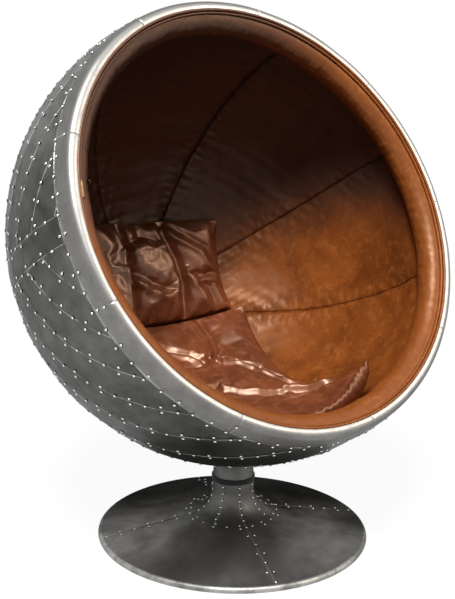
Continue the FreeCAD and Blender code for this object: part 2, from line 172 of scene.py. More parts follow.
class Finishes(PropertyGroup):
    """Colours of the finishes."""

    aluminium: finish_colour("Aluminium", "Aged sheet aluminium", "#767573")
    # Bright edge colour: wear and a painted highlight along the sheets' edges
    aluminium_worn_and_highlight: finish_colour("Worn aluminium", "Where the sheet is rubbed bright", "#B9B8B5")
    aluminium_stain: finish_colour("Stained aluminium", "Where the sheet has darkened", "#3F3E3C")
    band: finish_colour("Front band", "Front band beside the ball's sheets", "#82817E")
    # The lip's colour: rubbed bright and a painted highlight over its crest
    band_worn_and_highlight: finish_colour("Lip", "Front band where hands keep its lip bright", "#B4B3B0")
    base: finish_colour("Base", "Sheet of the pedestal", "#7A7977")
    base_stain: finish_colour("Stained base", "Where the pedestal's sheet is darkest", "#504F4D")
    leather: finish_colour("Leather", "Cognac leather", "#8C4A1C")
    leather_dark: finish_colour("Leather dark", "Waxed dark patches", "#5E2E10")
    leather_light: finish_colour("Leather light", "Rubbed light patches", "#AC6C38")
    trim: finish_colour("Trim", "Leather of the roll and piping", "#7F441C")
    cushion: finish_colour("Cushion", "Redder leather of the cushions", "#804326")
    cushion_dark: finish_colour("Cushion dark", "Waxed dark patches of the cushions", "#562A18")
    cushion_light: finish_colour("Cushion light", "Rubbed light patches of the cushions", "#A96D47")
    sleeve: finish_colour("Sleeve", "Dry, pale leather of the small sleeve", "#E0B98C")
    sleeve_dark: finish_colour("Sleeve dark", "Its darker patches", "#C79A6C")
    sleeve_light: finish_colour("Sleeve light", "Its lighter patches", "#EBD0AC")
    thread: finish_colour("Thread", "Waxed thread", "#4A2814")
    # Painted highlight on a rivet's top
    rivet_top_highlight: finish_colour("Rivet top", "Rubbed top of a rivet's head", "#E6E5E2")
    # Painted shade round a rivet's foot
    rivet_foot_shade: finish_colour("Rivet foot", "Grime round a rivet's head", "#1B1A19")


# Small geometry helpers

def scene_sizes(name):
    """The property group of that name on the scene."""
    return getattr(bpy.context.scene, name)


def ball_to_world(points):
    """Turns the ball's frame by the mouth's tilt about X and moves it to the ball's centre."""
    ball = scene_sizes("chair_ball")
    s, c = math.sin(ball.tilt), math.cos(ball.tilt)
    x, y, z = points[..., 0], points[..., 1], points[..., 2]
    return np.stack([x, s * y - c * z - ball.forward, c * y + s * z + ball.height], axis=-1)


def on_ball(radius, polar, azimuth):
    """Point at a radius, an angle from the mouth's axis and an angle round it."""
    return np.stack(np.broadcast_arrays(radius * np.sin(polar) * np.cos(azimuth),
                                        radius * np.sin(polar) * np.sin(azimuth),
                                        radius * np.cos(polar)), axis=-1)


def round_axis(profile, turns):
    """Carries (distance, level) points round the z axis: rows follow the turns."""
    out, level = profile[:, 0], profile[:, 1]
    return np.stack([np.cos(turns)[:, None] * out, np.sin(turns)[:, None] * out,
                     np.broadcast_to(level, (len(turns), len(level)))], axis=-1)


def waves(points, size, seed, octaves=5):
    """Smooth random height in about -1 to 1: a sum of sines along random directions."""
    rng = np.random.default_rng(seed)
    total = np.zeros(points.shape[:-1])
    for _ in range(octaves):
        way = rng.normal(size=3)
        way *= rng.uniform(0.7, 1.6) * 2 * math.pi / size / np.linalg.norm(way)
        total += np.sin(points @ way + rng.uniform(0, 2 * math.pi))
    return total / octaves ** 0.5


def arc_between(start, end, depth, count):
    """Points from start to end on the arc that stands depth to the right of its chord."""
    start, end = np.array(start), np.array(end)
    chord = np.linalg.norm(end - start)
    way = (end - start) / chord
    side = np.array([way[1], -way[0]])
    radius = (chord ** 2 / 4 + depth ** 2) / (2 * depth)
    half = math.asin(min(1.0, chord / 2 / radius))
    if depth > radius:
        half = math.pi - half
    turns = np.linspace(-half, half, count)
    middle = (start + end) / 2 + side * (depth - radius)
    return middle + radius * (np.cos(turns)[:, None] * side + np.sin(turns)[:, None] * way)


def grid_quads(rows, columns, wrap_rows=False, wrap_columns=False):
    """Quads of a grid of points, facing the side that rows x columns points to."""
    i, j = np.meshgrid(np.arange(rows - (not wrap_rows)), np.arange(columns - (not wrap_columns)),
                       indexing="ij")
    i2, j2 = (i + 1) % rows, (j + 1) % columns
    quads = [i * columns + j, i2 * columns + j, i2 * columns + j2, i * columns + j2]
    return np.stack(quads, axis=-1).reshape(-1, 4)


def run_along(line):
    """Distance from the start of a row of points to each of them."""
    return np.concatenate([[0], np.cumsum(np.linalg.norm(np.diff(line, axis=0), axis=1))])


def at_distance(line, distances):
    """Points on a line at distances from its start."""
    run = run_along(line)
    return np.stack([np.interp(distances, run, line[:, k]) for k in range(line.shape[1])], axis=-1)


def way_at(line, distances, step):
    """Unit directions of a line at distances from its start, taken over a step each way."""
    way = at_distance(line, distances + step) - at_distance(line, distances - step)
    return way / np.linalg.norm(way, axis=1, keepdims=True)


def bordered(count, bevel, half=0.5):
    """Even shares from 0 to 1, with two more beside each end where an edge is turned down."""
    inner = np.linspace(0, 1, count)[1:-1]
    return np.concatenate([[0, half * bevel, bevel], inner, [1 - bevel, 1 - half * bevel, 1]])


def turned_down(count):
    """How far each row of a sheet is turned down: wholly at its two edges, a third beside them."""
    drop = np.zeros(count)
    drop[[0, -1]] = 1.0
    drop[[1, -2]] = 0.35
    return drop


def sheet_lay(along, across, tone, edge):
    """A sheet's lay: distances along and across it, its tone, and where it is turned down, which is
    where its edges get a painted highlight.
    """
    return np.stack(np.broadcast_arrays(along, across, tone, edge), axis=-1)


def rim_of(rows, columns):
    """Indices round a grid's border."""
    index = np.arange(rows * columns).reshape(rows, columns)
    return np.concatenate([index[0, :-1], index[:-1, -1], index[-1, :0:-1], index[:0:-1, 0]])


def slab(outer, inner):
    """Closed plate between two grids of points: outer skin, inner skin and the rim's walls."""
    middle = (outer.shape[0] // 2, outer.shape[1] // 2)
    along = outer[middle[0] + 1, middle[1]] - outer[middle]
    across = outer[middle[0], middle[1] + 1] - outer[middle]
    flipped = np.cross(along, across) @ (outer[middle] - inner[middle]) < 0
    if flipped:
        outer, inner = outer[:, ::-1], inner[:, ::-1]
    rows, columns = outer.shape[:2]
    count = rows * columns
    skin = grid_quads(rows, columns)
    rim = rim_of(rows, columns)
    ahead = np.roll(rim, -1)
    walls = np.stack([rim, ahead, ahead + count, rim + count], axis=-1)
    points = np.concatenate([outer.reshape(-1, 3), inner.reshape(-1, 3)])
    return points, [skin, skin[:, ::-1] + count, walls], flipped


def closed_tube(grid):
    """Closed surface from a grid that wraps both ways."""
    rows, columns = grid.shape[:2]
    centre = grid.mean(axis=1)
    normal = np.cross(grid[1, 0] - grid[0, 0], grid[0, 1] - grid[0, 0])
    if normal @ (grid[0, 0] - centre[0]) < 0:
        grid = grid[:, ::-1]
    return grid.reshape(-1, 3), [grid_quads(rows, columns, True, True)]


def joined(parts):
    """One set of points and faces from several."""
    points, faces, start = [], [], 0
    for part in parts:
        points.append(part[0])
        faces += [f + start for f in part[1]]
        start += len(part[0])
    return np.concatenate(points), faces


def make_piece(name, points, faces, body, material, replaces=(), lay=None, sharp=None):
    """Mesh object of the given points and faces, riding on a body, with its finish."""
    mesh = bpy.data.meshes.new(name)
    corners = np.concatenate([f.ravel() for f in faces])
    counts = np.concatenate([np.full(len(f), f.shape[1]) for f in faces])
    starts = np.concatenate([[0], np.cumsum(counts)[:-1]])
    mesh.vertices.add(len(points))
    mesh.vertices.foreach_set("co", np.asarray(points, np.float32).ravel())
    mesh.loops.add(len(corners))
    mesh.loops.foreach_set("vertex_index", corners.astype(np.int32))
    mesh.polygons.add(len(counts))
    mesh.polygons.foreach_set("loop_start", starts.astype(np.int32))
    mesh.update(calc_edges=True)
    if lay is not None:
        mesh.attributes.new("lay", "FLOAT_COLOR", "POINT").data.foreach_set(
            "color", np.asarray(lay, np.float32).ravel())
    mesh.validate()
    mesh.shade_smooth()
    if sharp:
        mesh.set_sharp_from_angle(angle=math.radians(sharp))
    mesh.materials.append(material)
    piece = bpy.data.objects.new(name, mesh)
    bpy.context.scene.collection.objects.link(piece)
    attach(piece, body)
    if replaces:
        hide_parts(*replaces)
    return piece


def capped(points):
    """Closed caps from stacked rings, the foot first: points are caps x rings x sides."""
    count, rings, sides = points.shape[:3]
    base = np.arange(count)[:, None, None] * rings * sides
    walls = (base + grid_quads(rings, sides, False, True)[None]).reshape(-1, 4)
    top = base[:, 0] + (rings - 1) * sides + np.arange(sides)[None]
    foot = base[:, 0] + np.arange(sides)[::-1][None]
    return points.reshape(-1, 3), [walls[:, ::-1], top, foot]


def domes(places, normals, radius, height, sides=8):
    """Rivet heads: rings of a low round cap on each place, with a skirt round its foot for the
    painted shade.

    Returns points, faces and their lay, whose numbers are the height from 0 to 1.
    """
    ring_out = np.array([1.30, 1.24, 1.0, 0.93, 0.66, 0.30]) * radius
    ring_up = np.array([-0.30, 0.05, 0.07, 0.45, 0.82, 1.0])
    turns = np.arange(sides) * 2 * math.pi / sides
    helper = np.where(np.abs(normals[:, 2:3]) < 0.9, [[0.0, 0.0, 1.0]], [[1.0, 0.0, 0.0]])
    first = np.cross(normals, helper)
    first /= np.linalg.norm(first, axis=1, keepdims=True)
    second = np.cross(normals, first)
    spokes = np.cos(turns)[:, None] * first[:, None] + np.sin(turns)[:, None] * second[:, None]
    points = (places[:, None, None] + ring_out[None, :, None, None] * spokes[:, None]
              + height * (ring_up[:, None] * normals[:, None])[:, :, None])
    up = np.broadcast_to(ring_up[None, :, None], points.shape[:3]).reshape(-1, 1)
    return *capped(points), np.repeat(up, 4, axis=1)


def long_domes(places, normals, ways, run, width, height):
    """Low domes stretched along their way, such as stitches."""
    normals = normals / np.linalg.norm(normals, axis=1, keepdims=True)
    ways = ways / np.linalg.norm(ways, axis=1, keepdims=True)
    aside = np.cross(normals, ways)
    turns = np.arange(6) * math.pi / 3
    oval = (np.cos(turns)[None, :, None] * ways[:, None] * run / 2
            + np.sin(turns)[None, :, None] * aside[:, None] * width / 2)
    rings = [(1.0, -0.4), (0.8, 0.6), (0.4, 1.0)]
    rows = [places[:, None] + out * oval + up * height * normals[:, None] for out, up in rings]
    return capped(np.stack(rows, axis=1))


# Finishes

def linear(hex_value):
    """sRGB hex to linear colour with alpha."""
    srgb = np.array([int(hex_value[i:i + 2], 16) for i in (1, 3, 5)]) / 255
    low = srgb / 12.92
    high = ((srgb + 0.055) / 1.055) ** 2.4
    return (*np.where(srgb <= 0.04045, low, high).tolist(), 1.0)


def node(tree, kind, links=(), **settings):
    """Adds a node. Settings name its properties or, with a number or name in brackets, inputs."""
    made = tree.nodes.new(kind)
    inputs = settings.pop("inputs", {})
    for key, value in settings.items():
        setattr(made, key, value)
    for key, value in inputs.items():
        made.inputs[key].default_value = value
    for source, output, key in links:
        tree.links.new(source.outputs[output], made.inputs[key])
    return made


def new_material(name):
    """Material with an empty node tree and its output."""
    material = bpy.data.materials.get(name)
    if material:
        return material, None
    material = bpy.data.materials.new(name)
    material.use_nodes = True
    material.node_tree.nodes.clear()
    return material, material.node_tree


def ramp(tree, source, output, low, high, low_colour, high_colour):
    """Colour ramp between two places of a value."""
    made = node(tree, "ShaderNodeValToRGB", [(source, output, "Fac")])
    made.color_ramp.elements[0].position = low
    made.color_ramp.elements[0].color = low_colour
    made.color_ramp.elements[1].position = high
    made.color_ramp.elements[1].color = high_colour
    return made


GREY = [(v, v, v, 1.0) for v in (0.0, 0.25, 0.5, 0.75, 1.0)]


def aged_sheet(name, colour, worn_and_highlight, stain, roughness, grain, across=None, painted_shading=None, glance=1.0):
    """Sheet aluminium, rubbed by hand and dulled since: soft stains, fine grain, edges rubbed
    bright with a painted highlight.

    The lay attribute holds distances along and across the sheet, the sheet's
    own tone and 1 at its turned-down edges, which get the bright edge colour as
    wear and painted highlight. across gives a second colour and the two distances
    across the sheet between which it takes over; on the front band it is a
    painted highlight over the lip. A further argument gives a direction, two
    distances along it and the tone at each: painted shade and painted light
    along that direction. glance is how bright the sheet's film of oxide leaves
    reflections at a low angle.
    """
    material, tree = new_material(name)
    if tree is None:
        return material
    place = node(tree, "ShaderNodeTexCoord")
    lay = node(tree, "ShaderNodeAttribute", attribute_name="lay")
    apart = node(tree, "ShaderNodeSeparateXYZ", [(lay, "Vector", 0)])
    # Cloudy oxide stains, 150 to 400 mm across, and mottling of 20 to 60 mm
    clouds = node(tree, "ShaderNodeTexNoise", [(place, "Object", "Vector")],
                  inputs={"Scale": 4.2, "Detail": 6.0, "Roughness": 0.55, "Distortion": 0.8})
    mottle = node(tree, "ShaderNodeTexNoise", [(place, "Object", "Vector")],
                  inputs={"Scale": 26.0, "Detail": 6.0, "Roughness": 0.62})
    # Grain left by rubbing along the sheet: hairlines 0.5 to 2 mm wide
    grain_place = node(tree, "ShaderNodeMapping", [(lay, "Vector", "Vector")],
                       inputs={"Scale": (14.0, 420.0, 40.0)})
    hairs = node(tree, "ShaderNodeTexNoise", [(grain_place, "Vector", "Vector")],
                 inputs={"Scale": 1.0, "Detail": 4.0, "Roughness": 0.6})
    base = node(tree, "ShaderNodeMix", data_type="RGBA",
                links=[(ramp(tree, clouds, "Fac", 0.34, 0.66, GREY[0], GREY[4]), "Color", 0)])
    base.inputs[6].default_value = linear(stain)
    base.inputs[7].default_value = linear(colour)
    # On the front band the second colour is a painted highlight over the lip
    if across:
        second, start, end = across
        share = node(tree, "ShaderNodeMapRange", [(apart, 1, "Value")],
                     interpolation_type="SMOOTHSTEP", inputs={"From Min": start, "From Max": end})
        base = node(tree, "ShaderNodeMix", [(share, "Result", 0), (base, 2, 6)], data_type="RGBA")
        base.inputs[7].default_value = linear(second)
    # Turned-down edges: rubbed bright and given a painted highlight in the bright edge colour
    rubbed = node(tree, "ShaderNodeMath", [(lay, "Alpha", 0), (
        ramp(tree, mottle, "Fac", 0.38, 0.56, GREY[1], GREY[4]), "Color", 1)], operation="MULTIPLY")
    edged = node(tree, "ShaderNodeMix", [(rubbed, "Value", 0), (base, 2, 6)], data_type="RGBA")
    edged.inputs[7].default_value = linear(worn_and_highlight)
    tones = [("Fac", mottle, 0.30, 0.70, 0.84, 1.16), ("Fac", hairs, 0.30, 0.70, 0.94, 1.07),
             (2, apart, 0.0, 1.0, 0.92, 1.08)]
    # Painted shade and painted light: the tone changes along a direction
    if painted_shading:
        way, *limits = painted_shading
        along = node(tree, "ShaderNodeVectorMath", [(place, "Object", 0)], operation="DOT_PRODUCT")
        along.inputs[1].default_value = way
        tones.append(("Value", along, *limits))
    toned, output = edged, 2
    for key, source, low, high, dark, light in tones:
        tone = node(tree, "ShaderNodeMapRange", [(source, key, "Value")],
                    inputs={"From Min": low, "From Max": high, "To Min": dark, "To Max": light})
        toned = node(tree, "ShaderNodeVectorMath", [(toned, output, 0), (tone, "Result", "Scale")],
                     operation="SCALE")
        output = "Vector"
    rough = node(tree, "ShaderNodeMapRange", [(mottle, "Fac", "Value")],
                 inputs={"From Min": 0.3, "From Max": 0.7,
                         "To Min": roughness + 0.07, "To Max": roughness - 0.05})
    both = node(tree, "ShaderNodeMath", [(hairs, "Fac", 0), (mottle, "Fac", 1)], operation="ADD")
    bump = node(tree, "ShaderNodeBump", [(both, "Value", "Height")],
                inputs={"Strength": grain, "Distance": 0.0004})
    shader = node(tree, "ShaderNodeBsdfPrincipled",
                  [(toned, "Vector", "Base Color"), (rough, "Result", "Roughness"),
                   (bump, "Normal", "Normal")],
                  inputs={"Metallic": 1.0, "Specular Tint": (glance, glance, glance, 1.0)})
    node(tree, "ShaderNodeOutputMaterial", [(shader, "BSDF", "Surface")])
    return material


def plain_finish(name, hex_value, metallic, roughness, grain_scale, grain_depth):
    """A finish of one colour with a fine grain: grain scale in grains per metre."""
    material, tree = new_material(name)
    if tree is None:
        return material
    coordinates = node(tree, "ShaderNodeTexCoord")
    grain = node(tree, "ShaderNodeTexNoise", [(coordinates, "Object", "Vector")],
                 inputs={"Scale": grain_scale, "Detail": 4.0, "Roughness": 0.6})
    base = np.array(linear(hex_value))
    shade = ramp(tree, grain, "Fac", 0.3, 0.75, (*(base[:3] * 0.8).tolist(), 1.0),
                 (*np.minimum(base[:3] * 1.15, 1.0).tolist(), 1.0))
    bump = node(tree, "ShaderNodeBump", [(grain, "Fac", "Height")],
                inputs={"Strength": 0.4, "Distance": grain_depth})
    shader = node(tree, "ShaderNodeBsdfPrincipled",
                  [(shade, "Color", "Base Color"), (bump, "Normal", "Normal")],
                  inputs={"Metallic": metallic, "Roughness": roughness})
    node(tree, "ShaderNodeOutputMaterial", [(shader, "BSDF", "Surface")])
    return material


# Tint of the wax, and the direction and the colour of the painted shade that darkens the leather's
# upper part
WAX_TINT = "#FFD2B0"
PAINTED_SHADE_WAY = (-0.5, 0.0, 0.866)
PAINTED_SHADE_COLOUR = "#453834"


def waxed_leather(name, middle, dark, light, roughness, shine, depth=0.0016, coat=0.0, painted_crown_shade=None):
    """Waxed pull-up leather: cloudy wax tones, rubbed light places, fine pebble grain, creases.

    shine is the specular level, whose reflections the wax tints, depth that
    of the creases and coat the weight of the wax film on top. The last
    argument gives two distances along a set direction, between which a painted
    shade darkens the leather towards its upper part, and how much.
    """
    material, tree = new_material(name)
    if tree is None:
        return material
    place = node(tree, "ShaderNodeTexCoord")
    # Clouds of wax 80 to 250 mm across, and blotches of 10 to 40 mm
    clouds = node(tree, "ShaderNodeTexNoise", [(place, "Object", "Vector")],
                  inputs={"Scale": 7.0, "Detail": 6.0, "Roughness": 0.62, "Distortion": 0.8})
    blotches = node(tree, "ShaderNodeTexNoise", [(place, "Object", "Vector")],
                    inputs={"Scale": 38.0, "Detail": 7.0, "Roughness": 0.72, "Distortion": 1.0})
    # Pebble grain of 1.5 mm cells
    pebbles = node(tree, "ShaderNodeTexVoronoi", [(place, "Object", "Vector")],
                   feature="DISTANCE_TO_EDGE", inputs={"Scale": 620.0})
    # Short creases, 8 to 25 mm long
    creases = node(tree, "ShaderNodeTexNoise", [(place, "Object", "Vector")],
                   noise_type="RIDGED_MULTIFRACTAL",
                   inputs={"Scale": 34.0, "Detail": 4.0, "Roughness": 0.55, "Distortion": 0.6})
    body = node(tree, "ShaderNodeMix", data_type="RGBA",
                links=[(ramp(tree, clouds, "Fac", 0.30, 0.66, GREY[0], GREY[4]), "Color", 0)])
    body.inputs[6].default_value = linear(dark)
    body.inputs[7].default_value = linear(middle)
    rubbed = node(tree, "ShaderNodeMix", data_type="RGBA",
                  links=[(ramp(tree, blotches, "Fac", 0.50, 0.80, GREY[0], GREY[3]), "Color", 0),
                         (body, 2, 6)])
    rubbed.inputs[7].default_value = linear(light)
    # Painted shade: the leather is painted darker towards its upper part
    if painted_crown_shade:
        start, end, most = painted_crown_shade
        along = node(tree, "ShaderNodeVectorMath", [(place, "Object", 0)], operation="DOT_PRODUCT")
        along.inputs[1].default_value = PAINTED_SHADE_WAY
        share = node(tree, "ShaderNodeMapRange", [(along, "Value", "Value")],
                     interpolation_type="SMOOTHSTEP",
                     inputs={"From Min": start, "From Max": end, "To Max": most})
        rubbed = node(tree, "ShaderNodeMix", [(share, "Result", 0), (rubbed, 2, 6)],
                      data_type="RGBA")
        rubbed.inputs[7].default_value = linear(PAINTED_SHADE_COLOUR)
    rough = node(tree, "ShaderNodeMapRange", [(blotches, "Fac", "Value")],
                 inputs={"From Min": 0.3, "From Max": 0.7,
                         "To Min": roughness + 0.07, "To Max": roughness - 0.07})
    pebble_bump = node(tree, "ShaderNodeBump", [(pebbles, "Distance", "Height")],
                       inputs={"Strength": 0.3, "Distance": 0.0004})
    crease_bump = node(tree, "ShaderNodeBump",
                       [(creases, "Fac", "Height"), (pebble_bump, "Normal", "Normal")],
                       inputs={"Strength": 0.35, "Distance": depth})
    shader = node(tree, "ShaderNodeBsdfPrincipled",
                  [(rubbed, 2, "Base Color"), (rough, "Result", "Roughness"),
                   (crease_bump, "Normal", "Normal")],
                  inputs={"Specular IOR Level": shine, "Specular Tint": linear(WAX_TINT),
                          "Coat Weight": coat, "Coat Roughness": 0.3})
    node(tree, "ShaderNodeOutputMaterial", [(shader, "BSDF", "Surface")])
    return material


def cladding_finish():
    """Aluminium sheet of the ball, with painted shade that darkens it towards its bottom and its
    left side.
    """
    f = scene_sizes("chair_finishes")
    return aged_sheet("aged_sheet_aluminium", f.aluminium, f.aluminium_worn_and_highlight, f.aluminium_stain,
                      roughness=0.42, grain=0.10, painted_shading=((0.3, 0.0, 0.9), 0.20, 0.66, 0.50, 1.10),
                      glance=0.82)


def band_finish():
    """Aluminium sheet of the front band: like the ball's at its seam, rubbed bright and given a
    painted highlight over the lip.
    """
    f = scene_sizes("chair_finishes")
    return aged_sheet("rubbed_sheet_aluminium_painted_highlight", f.band, f.band_worn_and_highlight, f.aluminium,
                      roughness=0.40, grain=0.07, across=(f.band_worn_and_highlight, 0.044, 0.058), glance=0.6)


def base_finish():
    """Aluminium sheet of the pedestal, darkened: painted shade towards its back under the ball and
    painted light towards its front.
    """
    f = scene_sizes("chair_finishes")
    return aged_sheet("darkened_sheet_aluminium", f.base, f.aluminium_worn_and_highlight, f.base_stain,
                      roughness=0.48, grain=0.10,
                      painted_shading=((-0.6, -0.8, 0.0), -0.16, 0.16, 0.30, 1.6), glance=0.25)


def rivet_finish():
    """Rivet heads: a painted highlight on top and painted shade round the foot. The lay attribute
    holds the height.
    """
    material, tree = new_material("aluminium_rivets")
    if tree is None:
        return material
    f = scene_sizes("chair_finishes")
    lay = node(tree, "ShaderNodeAttribute", attribute_name="lay")
    shade = ramp(tree, lay, "Alpha", 0.25, 0.60, linear(f.rivet_foot_shade), linear(f.rivet_top_highlight))
    shader = node(tree, "ShaderNodeBsdfPrincipled", [(shade, "Color", "Base Color")],
                  inputs={"Metallic": 1.0, "Roughness": 0.22})
    node(tree, "ShaderNodeOutputMaterial", [(shader, "BSDF", "Surface")])
    return material


def lining_finish():
    """Leather of the lining, with painted shade that darkens its upper part."""
    f = scene_sizes("chair_finishes")
    return waxed_leather("cognac_waxed_leather", f.leather, f.leather_dark, f.leather_light,
                         roughness=0.38, shine=0.36, painted_crown_shade=(0.34, 0.58, 0.94))


def trim_finish():
    """Leather of the roll and piping, polished by hands, with painted shade that darkens its top.
    """
    f = scene_sizes("chair_finishes")
    return waxed_leather("cognac_polished_leather", f.trim, f.leather, f.leather_light,
                         roughness=0.38, shine=0.50, painted_crown_shade=(0.80, 1.06, 0.72))


def cushion_finish():
    """Softer, redder and shinier leather of the cushions."""
    f = scene_sizes("chair_finishes")
    return waxed_leather("cognac_waxed_cushion_leather", f.cushion, f.cushion_dark, f.cushion_light,
                         roughness=0.34, shine=0.85, depth=0.0026, coat=0.25)


def sleeve_finish():
    """Dry, paler leather of the small sleeve."""
    f = scene_sizes("chair_finishes")
    return waxed_leather("pale_dry_leather", f.sleeve, f.sleeve_dark, f.sleeve_light,
                         roughness=0.5, shine=0.3)


# Cladding of the ball

# Angle in degrees from which two faces meet in an edge: on sheets, and on the ring and collar
SHEET_EDGE = 35
RING_EDGE = 40


def strip_edges(first, width, last, growth=0.0):
    """Latitudes of the strips' edges, from two strips before the first to past the last."""
    edges = [first - 2 * width, first - width, first]
    while edges[-1] < last:
        edges.append(edges[-1] + width)
        width += growth
    return edges


def strip_frame(rise):
    """Axis w of the left strips over (rise 1) or under (-1) the belt, with u and v square to it."""
    clad = scene_sizes("chair_cladding")
    turn, tilt = clad.strip_turn, clad.strip_tilt
    w = np.array([math.sin(turn), rise * math.cos(turn) * math.sin(tilt),
                  -math.cos(turn) * math.cos(tilt)])
    u = np.cross(w, [0.0, 0.0, 1.0])
    u /= np.linalg.norm(u)
    return w, u, np.cross(w, u)


def quarter_limits(rise, inset):
    """Planes that bound the left quarter: directions and how far along them the quarter reaches."""
    ball, clad = scene_sizes("chair_ball"), scene_sizes("chair_cladding")
    ring = ball.radius * math.cos(ball.ring_polar) - inset
    if rise > 0:
        belt = ((0.0, -1.0, 0.0), -clad.belt_high - inset)
    else:
        belt = ((0.0, 1.0, 0.0), clad.belt_low - inset)
    return [((1.0, 0.0, 0.0), -inset), ((0.0, 0.0, 1.0), ring), belt]


def span_inside(height, reach, axes, limits):
    """Start and end angle of the longest stretch of a circle about w that is inside the limits."""
    w, u, v = axes

    def room(turn):
        place = (height * w + reach * (np.cos(turn)[..., None] * u + np.sin(turn)[..., None] * v))
        return np.min([d - place @ np.array(m) for m, d in limits], axis=0)

    count = 720
    turns = np.linspace(0, 2 * math.pi, count, endpoint=False)
    inside = room(turns) > 0
    if not inside.any() or inside.all():
        return None
    shift = int(np.argmin(inside))
    rolled = np.roll(inside, -shift)
    change = np.flatnonzero(np.diff(rolled.astype(int)))
    runs = [(change[i], change[i + 1] if i + 1 < len(change) else count - 1)
            for i in range(0, len(change), 2)]
    first, last = max(runs, key=lambda run: run[1] - run[0])
    step = turns[1]
    found = []
    for outside, within in ((first, first + 1), (last + 1, last)):
        a, b = (outside + shift) * step, (within + shift) * step
        for _ in range(24):
            middle = (a + b) / 2
            if room(np.array(middle)) > 0:
                b = middle
            else:
                a = middle
        found.append(b)
    return found


def hammered(points, dent, drop):
    """A sheet's outer skin, dented and turned down at its edges, and its inner skin."""
    ball, clad = scene_sizes("chair_ball"), scene_sizes("chair_cladding")
    outward = points / np.linalg.norm(points, axis=-1, keepdims=True)
    return (points + outward * (clad.dent * dent - clad.edge_drop * drop)[..., None],
            points - outward * ball.sheet)


# Length of a face along a strip
FACE_LENGTH = 0.012


def strip_panel(rise, low, high, seed):
    """One strip: straight across from latitude low to high, bent along, its edges turned down.

    Returns its outer and inner grid and their lay.
    """
    ball, clad = scene_sizes("chair_ball"), scene_sizes("chair_cladding")
    axes = strip_frame(rise)
    w, u, v = axes
    limits = quarter_limits(rise, clad.seam / 2)
    half_seam = clad.seam / 2 / ball.radius
    low, high = low + half_seam, high - half_seam
    width = (high - low) * ball.radius

    def at(share):
        height = ball.radius * ((1 - share) * math.sin(low) + share * math.sin(high))
        reach = ball.radius * ((1 - share) * math.cos(low) + share * math.cos(high))
        return height, reach

    tries = [s for s in np.linspace(0, 1, 61) if span_inside(*at(s), axes, limits)]
    if len(tries) < 3:
        return None
    bevel = clad.edge / width
    shares = bordered(9, bevel)
    shares = tries[0] + (tries[-1] - tries[0]) * shares
    spans = np.array([span_inside(*at(s), axes, limits) for s in shares])
    longest = (spans[:, 1] - spans[:, 0]).max() * ball.radius * 0.9
    bevel = min(0.2, clad.edge / max(longest, 0.02))
    steps = bordered(max(9, int(longest / FACE_LENGTH)), bevel)
    turns = spans[:, :1] + (spans[:, 1:] - spans[:, :1]) * steps[None]
    heights = np.array([at(s) for s in shares])
    points = (heights[:, 0, None, None] * w + heights[:, 1, None, None]
              * (np.cos(turns)[..., None] * u + np.sin(turns)[..., None] * v))
    drop = np.maximum(turned_down(len(shares))[:, None], turned_down(len(steps))[None])
    dent = waves(points, 0.11, seed) + 0.6 * waves(points, 0.045, seed + 7)
    outer, inner = hammered(points, dent, drop)
    tone = np.random.default_rng(seed).uniform(0, 1)
    # Turned-down edges get the painted highlight
    lay = sheet_lay(turns * heights[:, 1, None], shares[:, None] * width, tone, drop > 0)
    return outer, inner, lay


def quarter_edges(rise):
    """Latitudes of the seams of a quarter."""
    clad = scene_sizes("chair_cladding")
    last = math.pi / 2 - clad.strip_turn
    if rise > 0:
        return strip_edges(clad.upper_first, clad.upper_width, last)
    return strip_edges(clad.lower_first, clad.lower_width, last, clad.lower_growth)


def gather(grids):
    """Slabs of several sheets as one mesh, with the lay of each: along, across, tone and edge."""
    parts, lays = [], []
    for outer, inner, lay in grids:
        points, faces, flipped = slab(outer, inner)
        parts.append((points, faces))
        lay = (lay[:, ::-1] if flipped else lay).reshape(-1, 4)
        lays.append(np.concatenate([lay, lay]))
    points, faces = joined(parts)
    return points, faces, np.concatenate(lays)


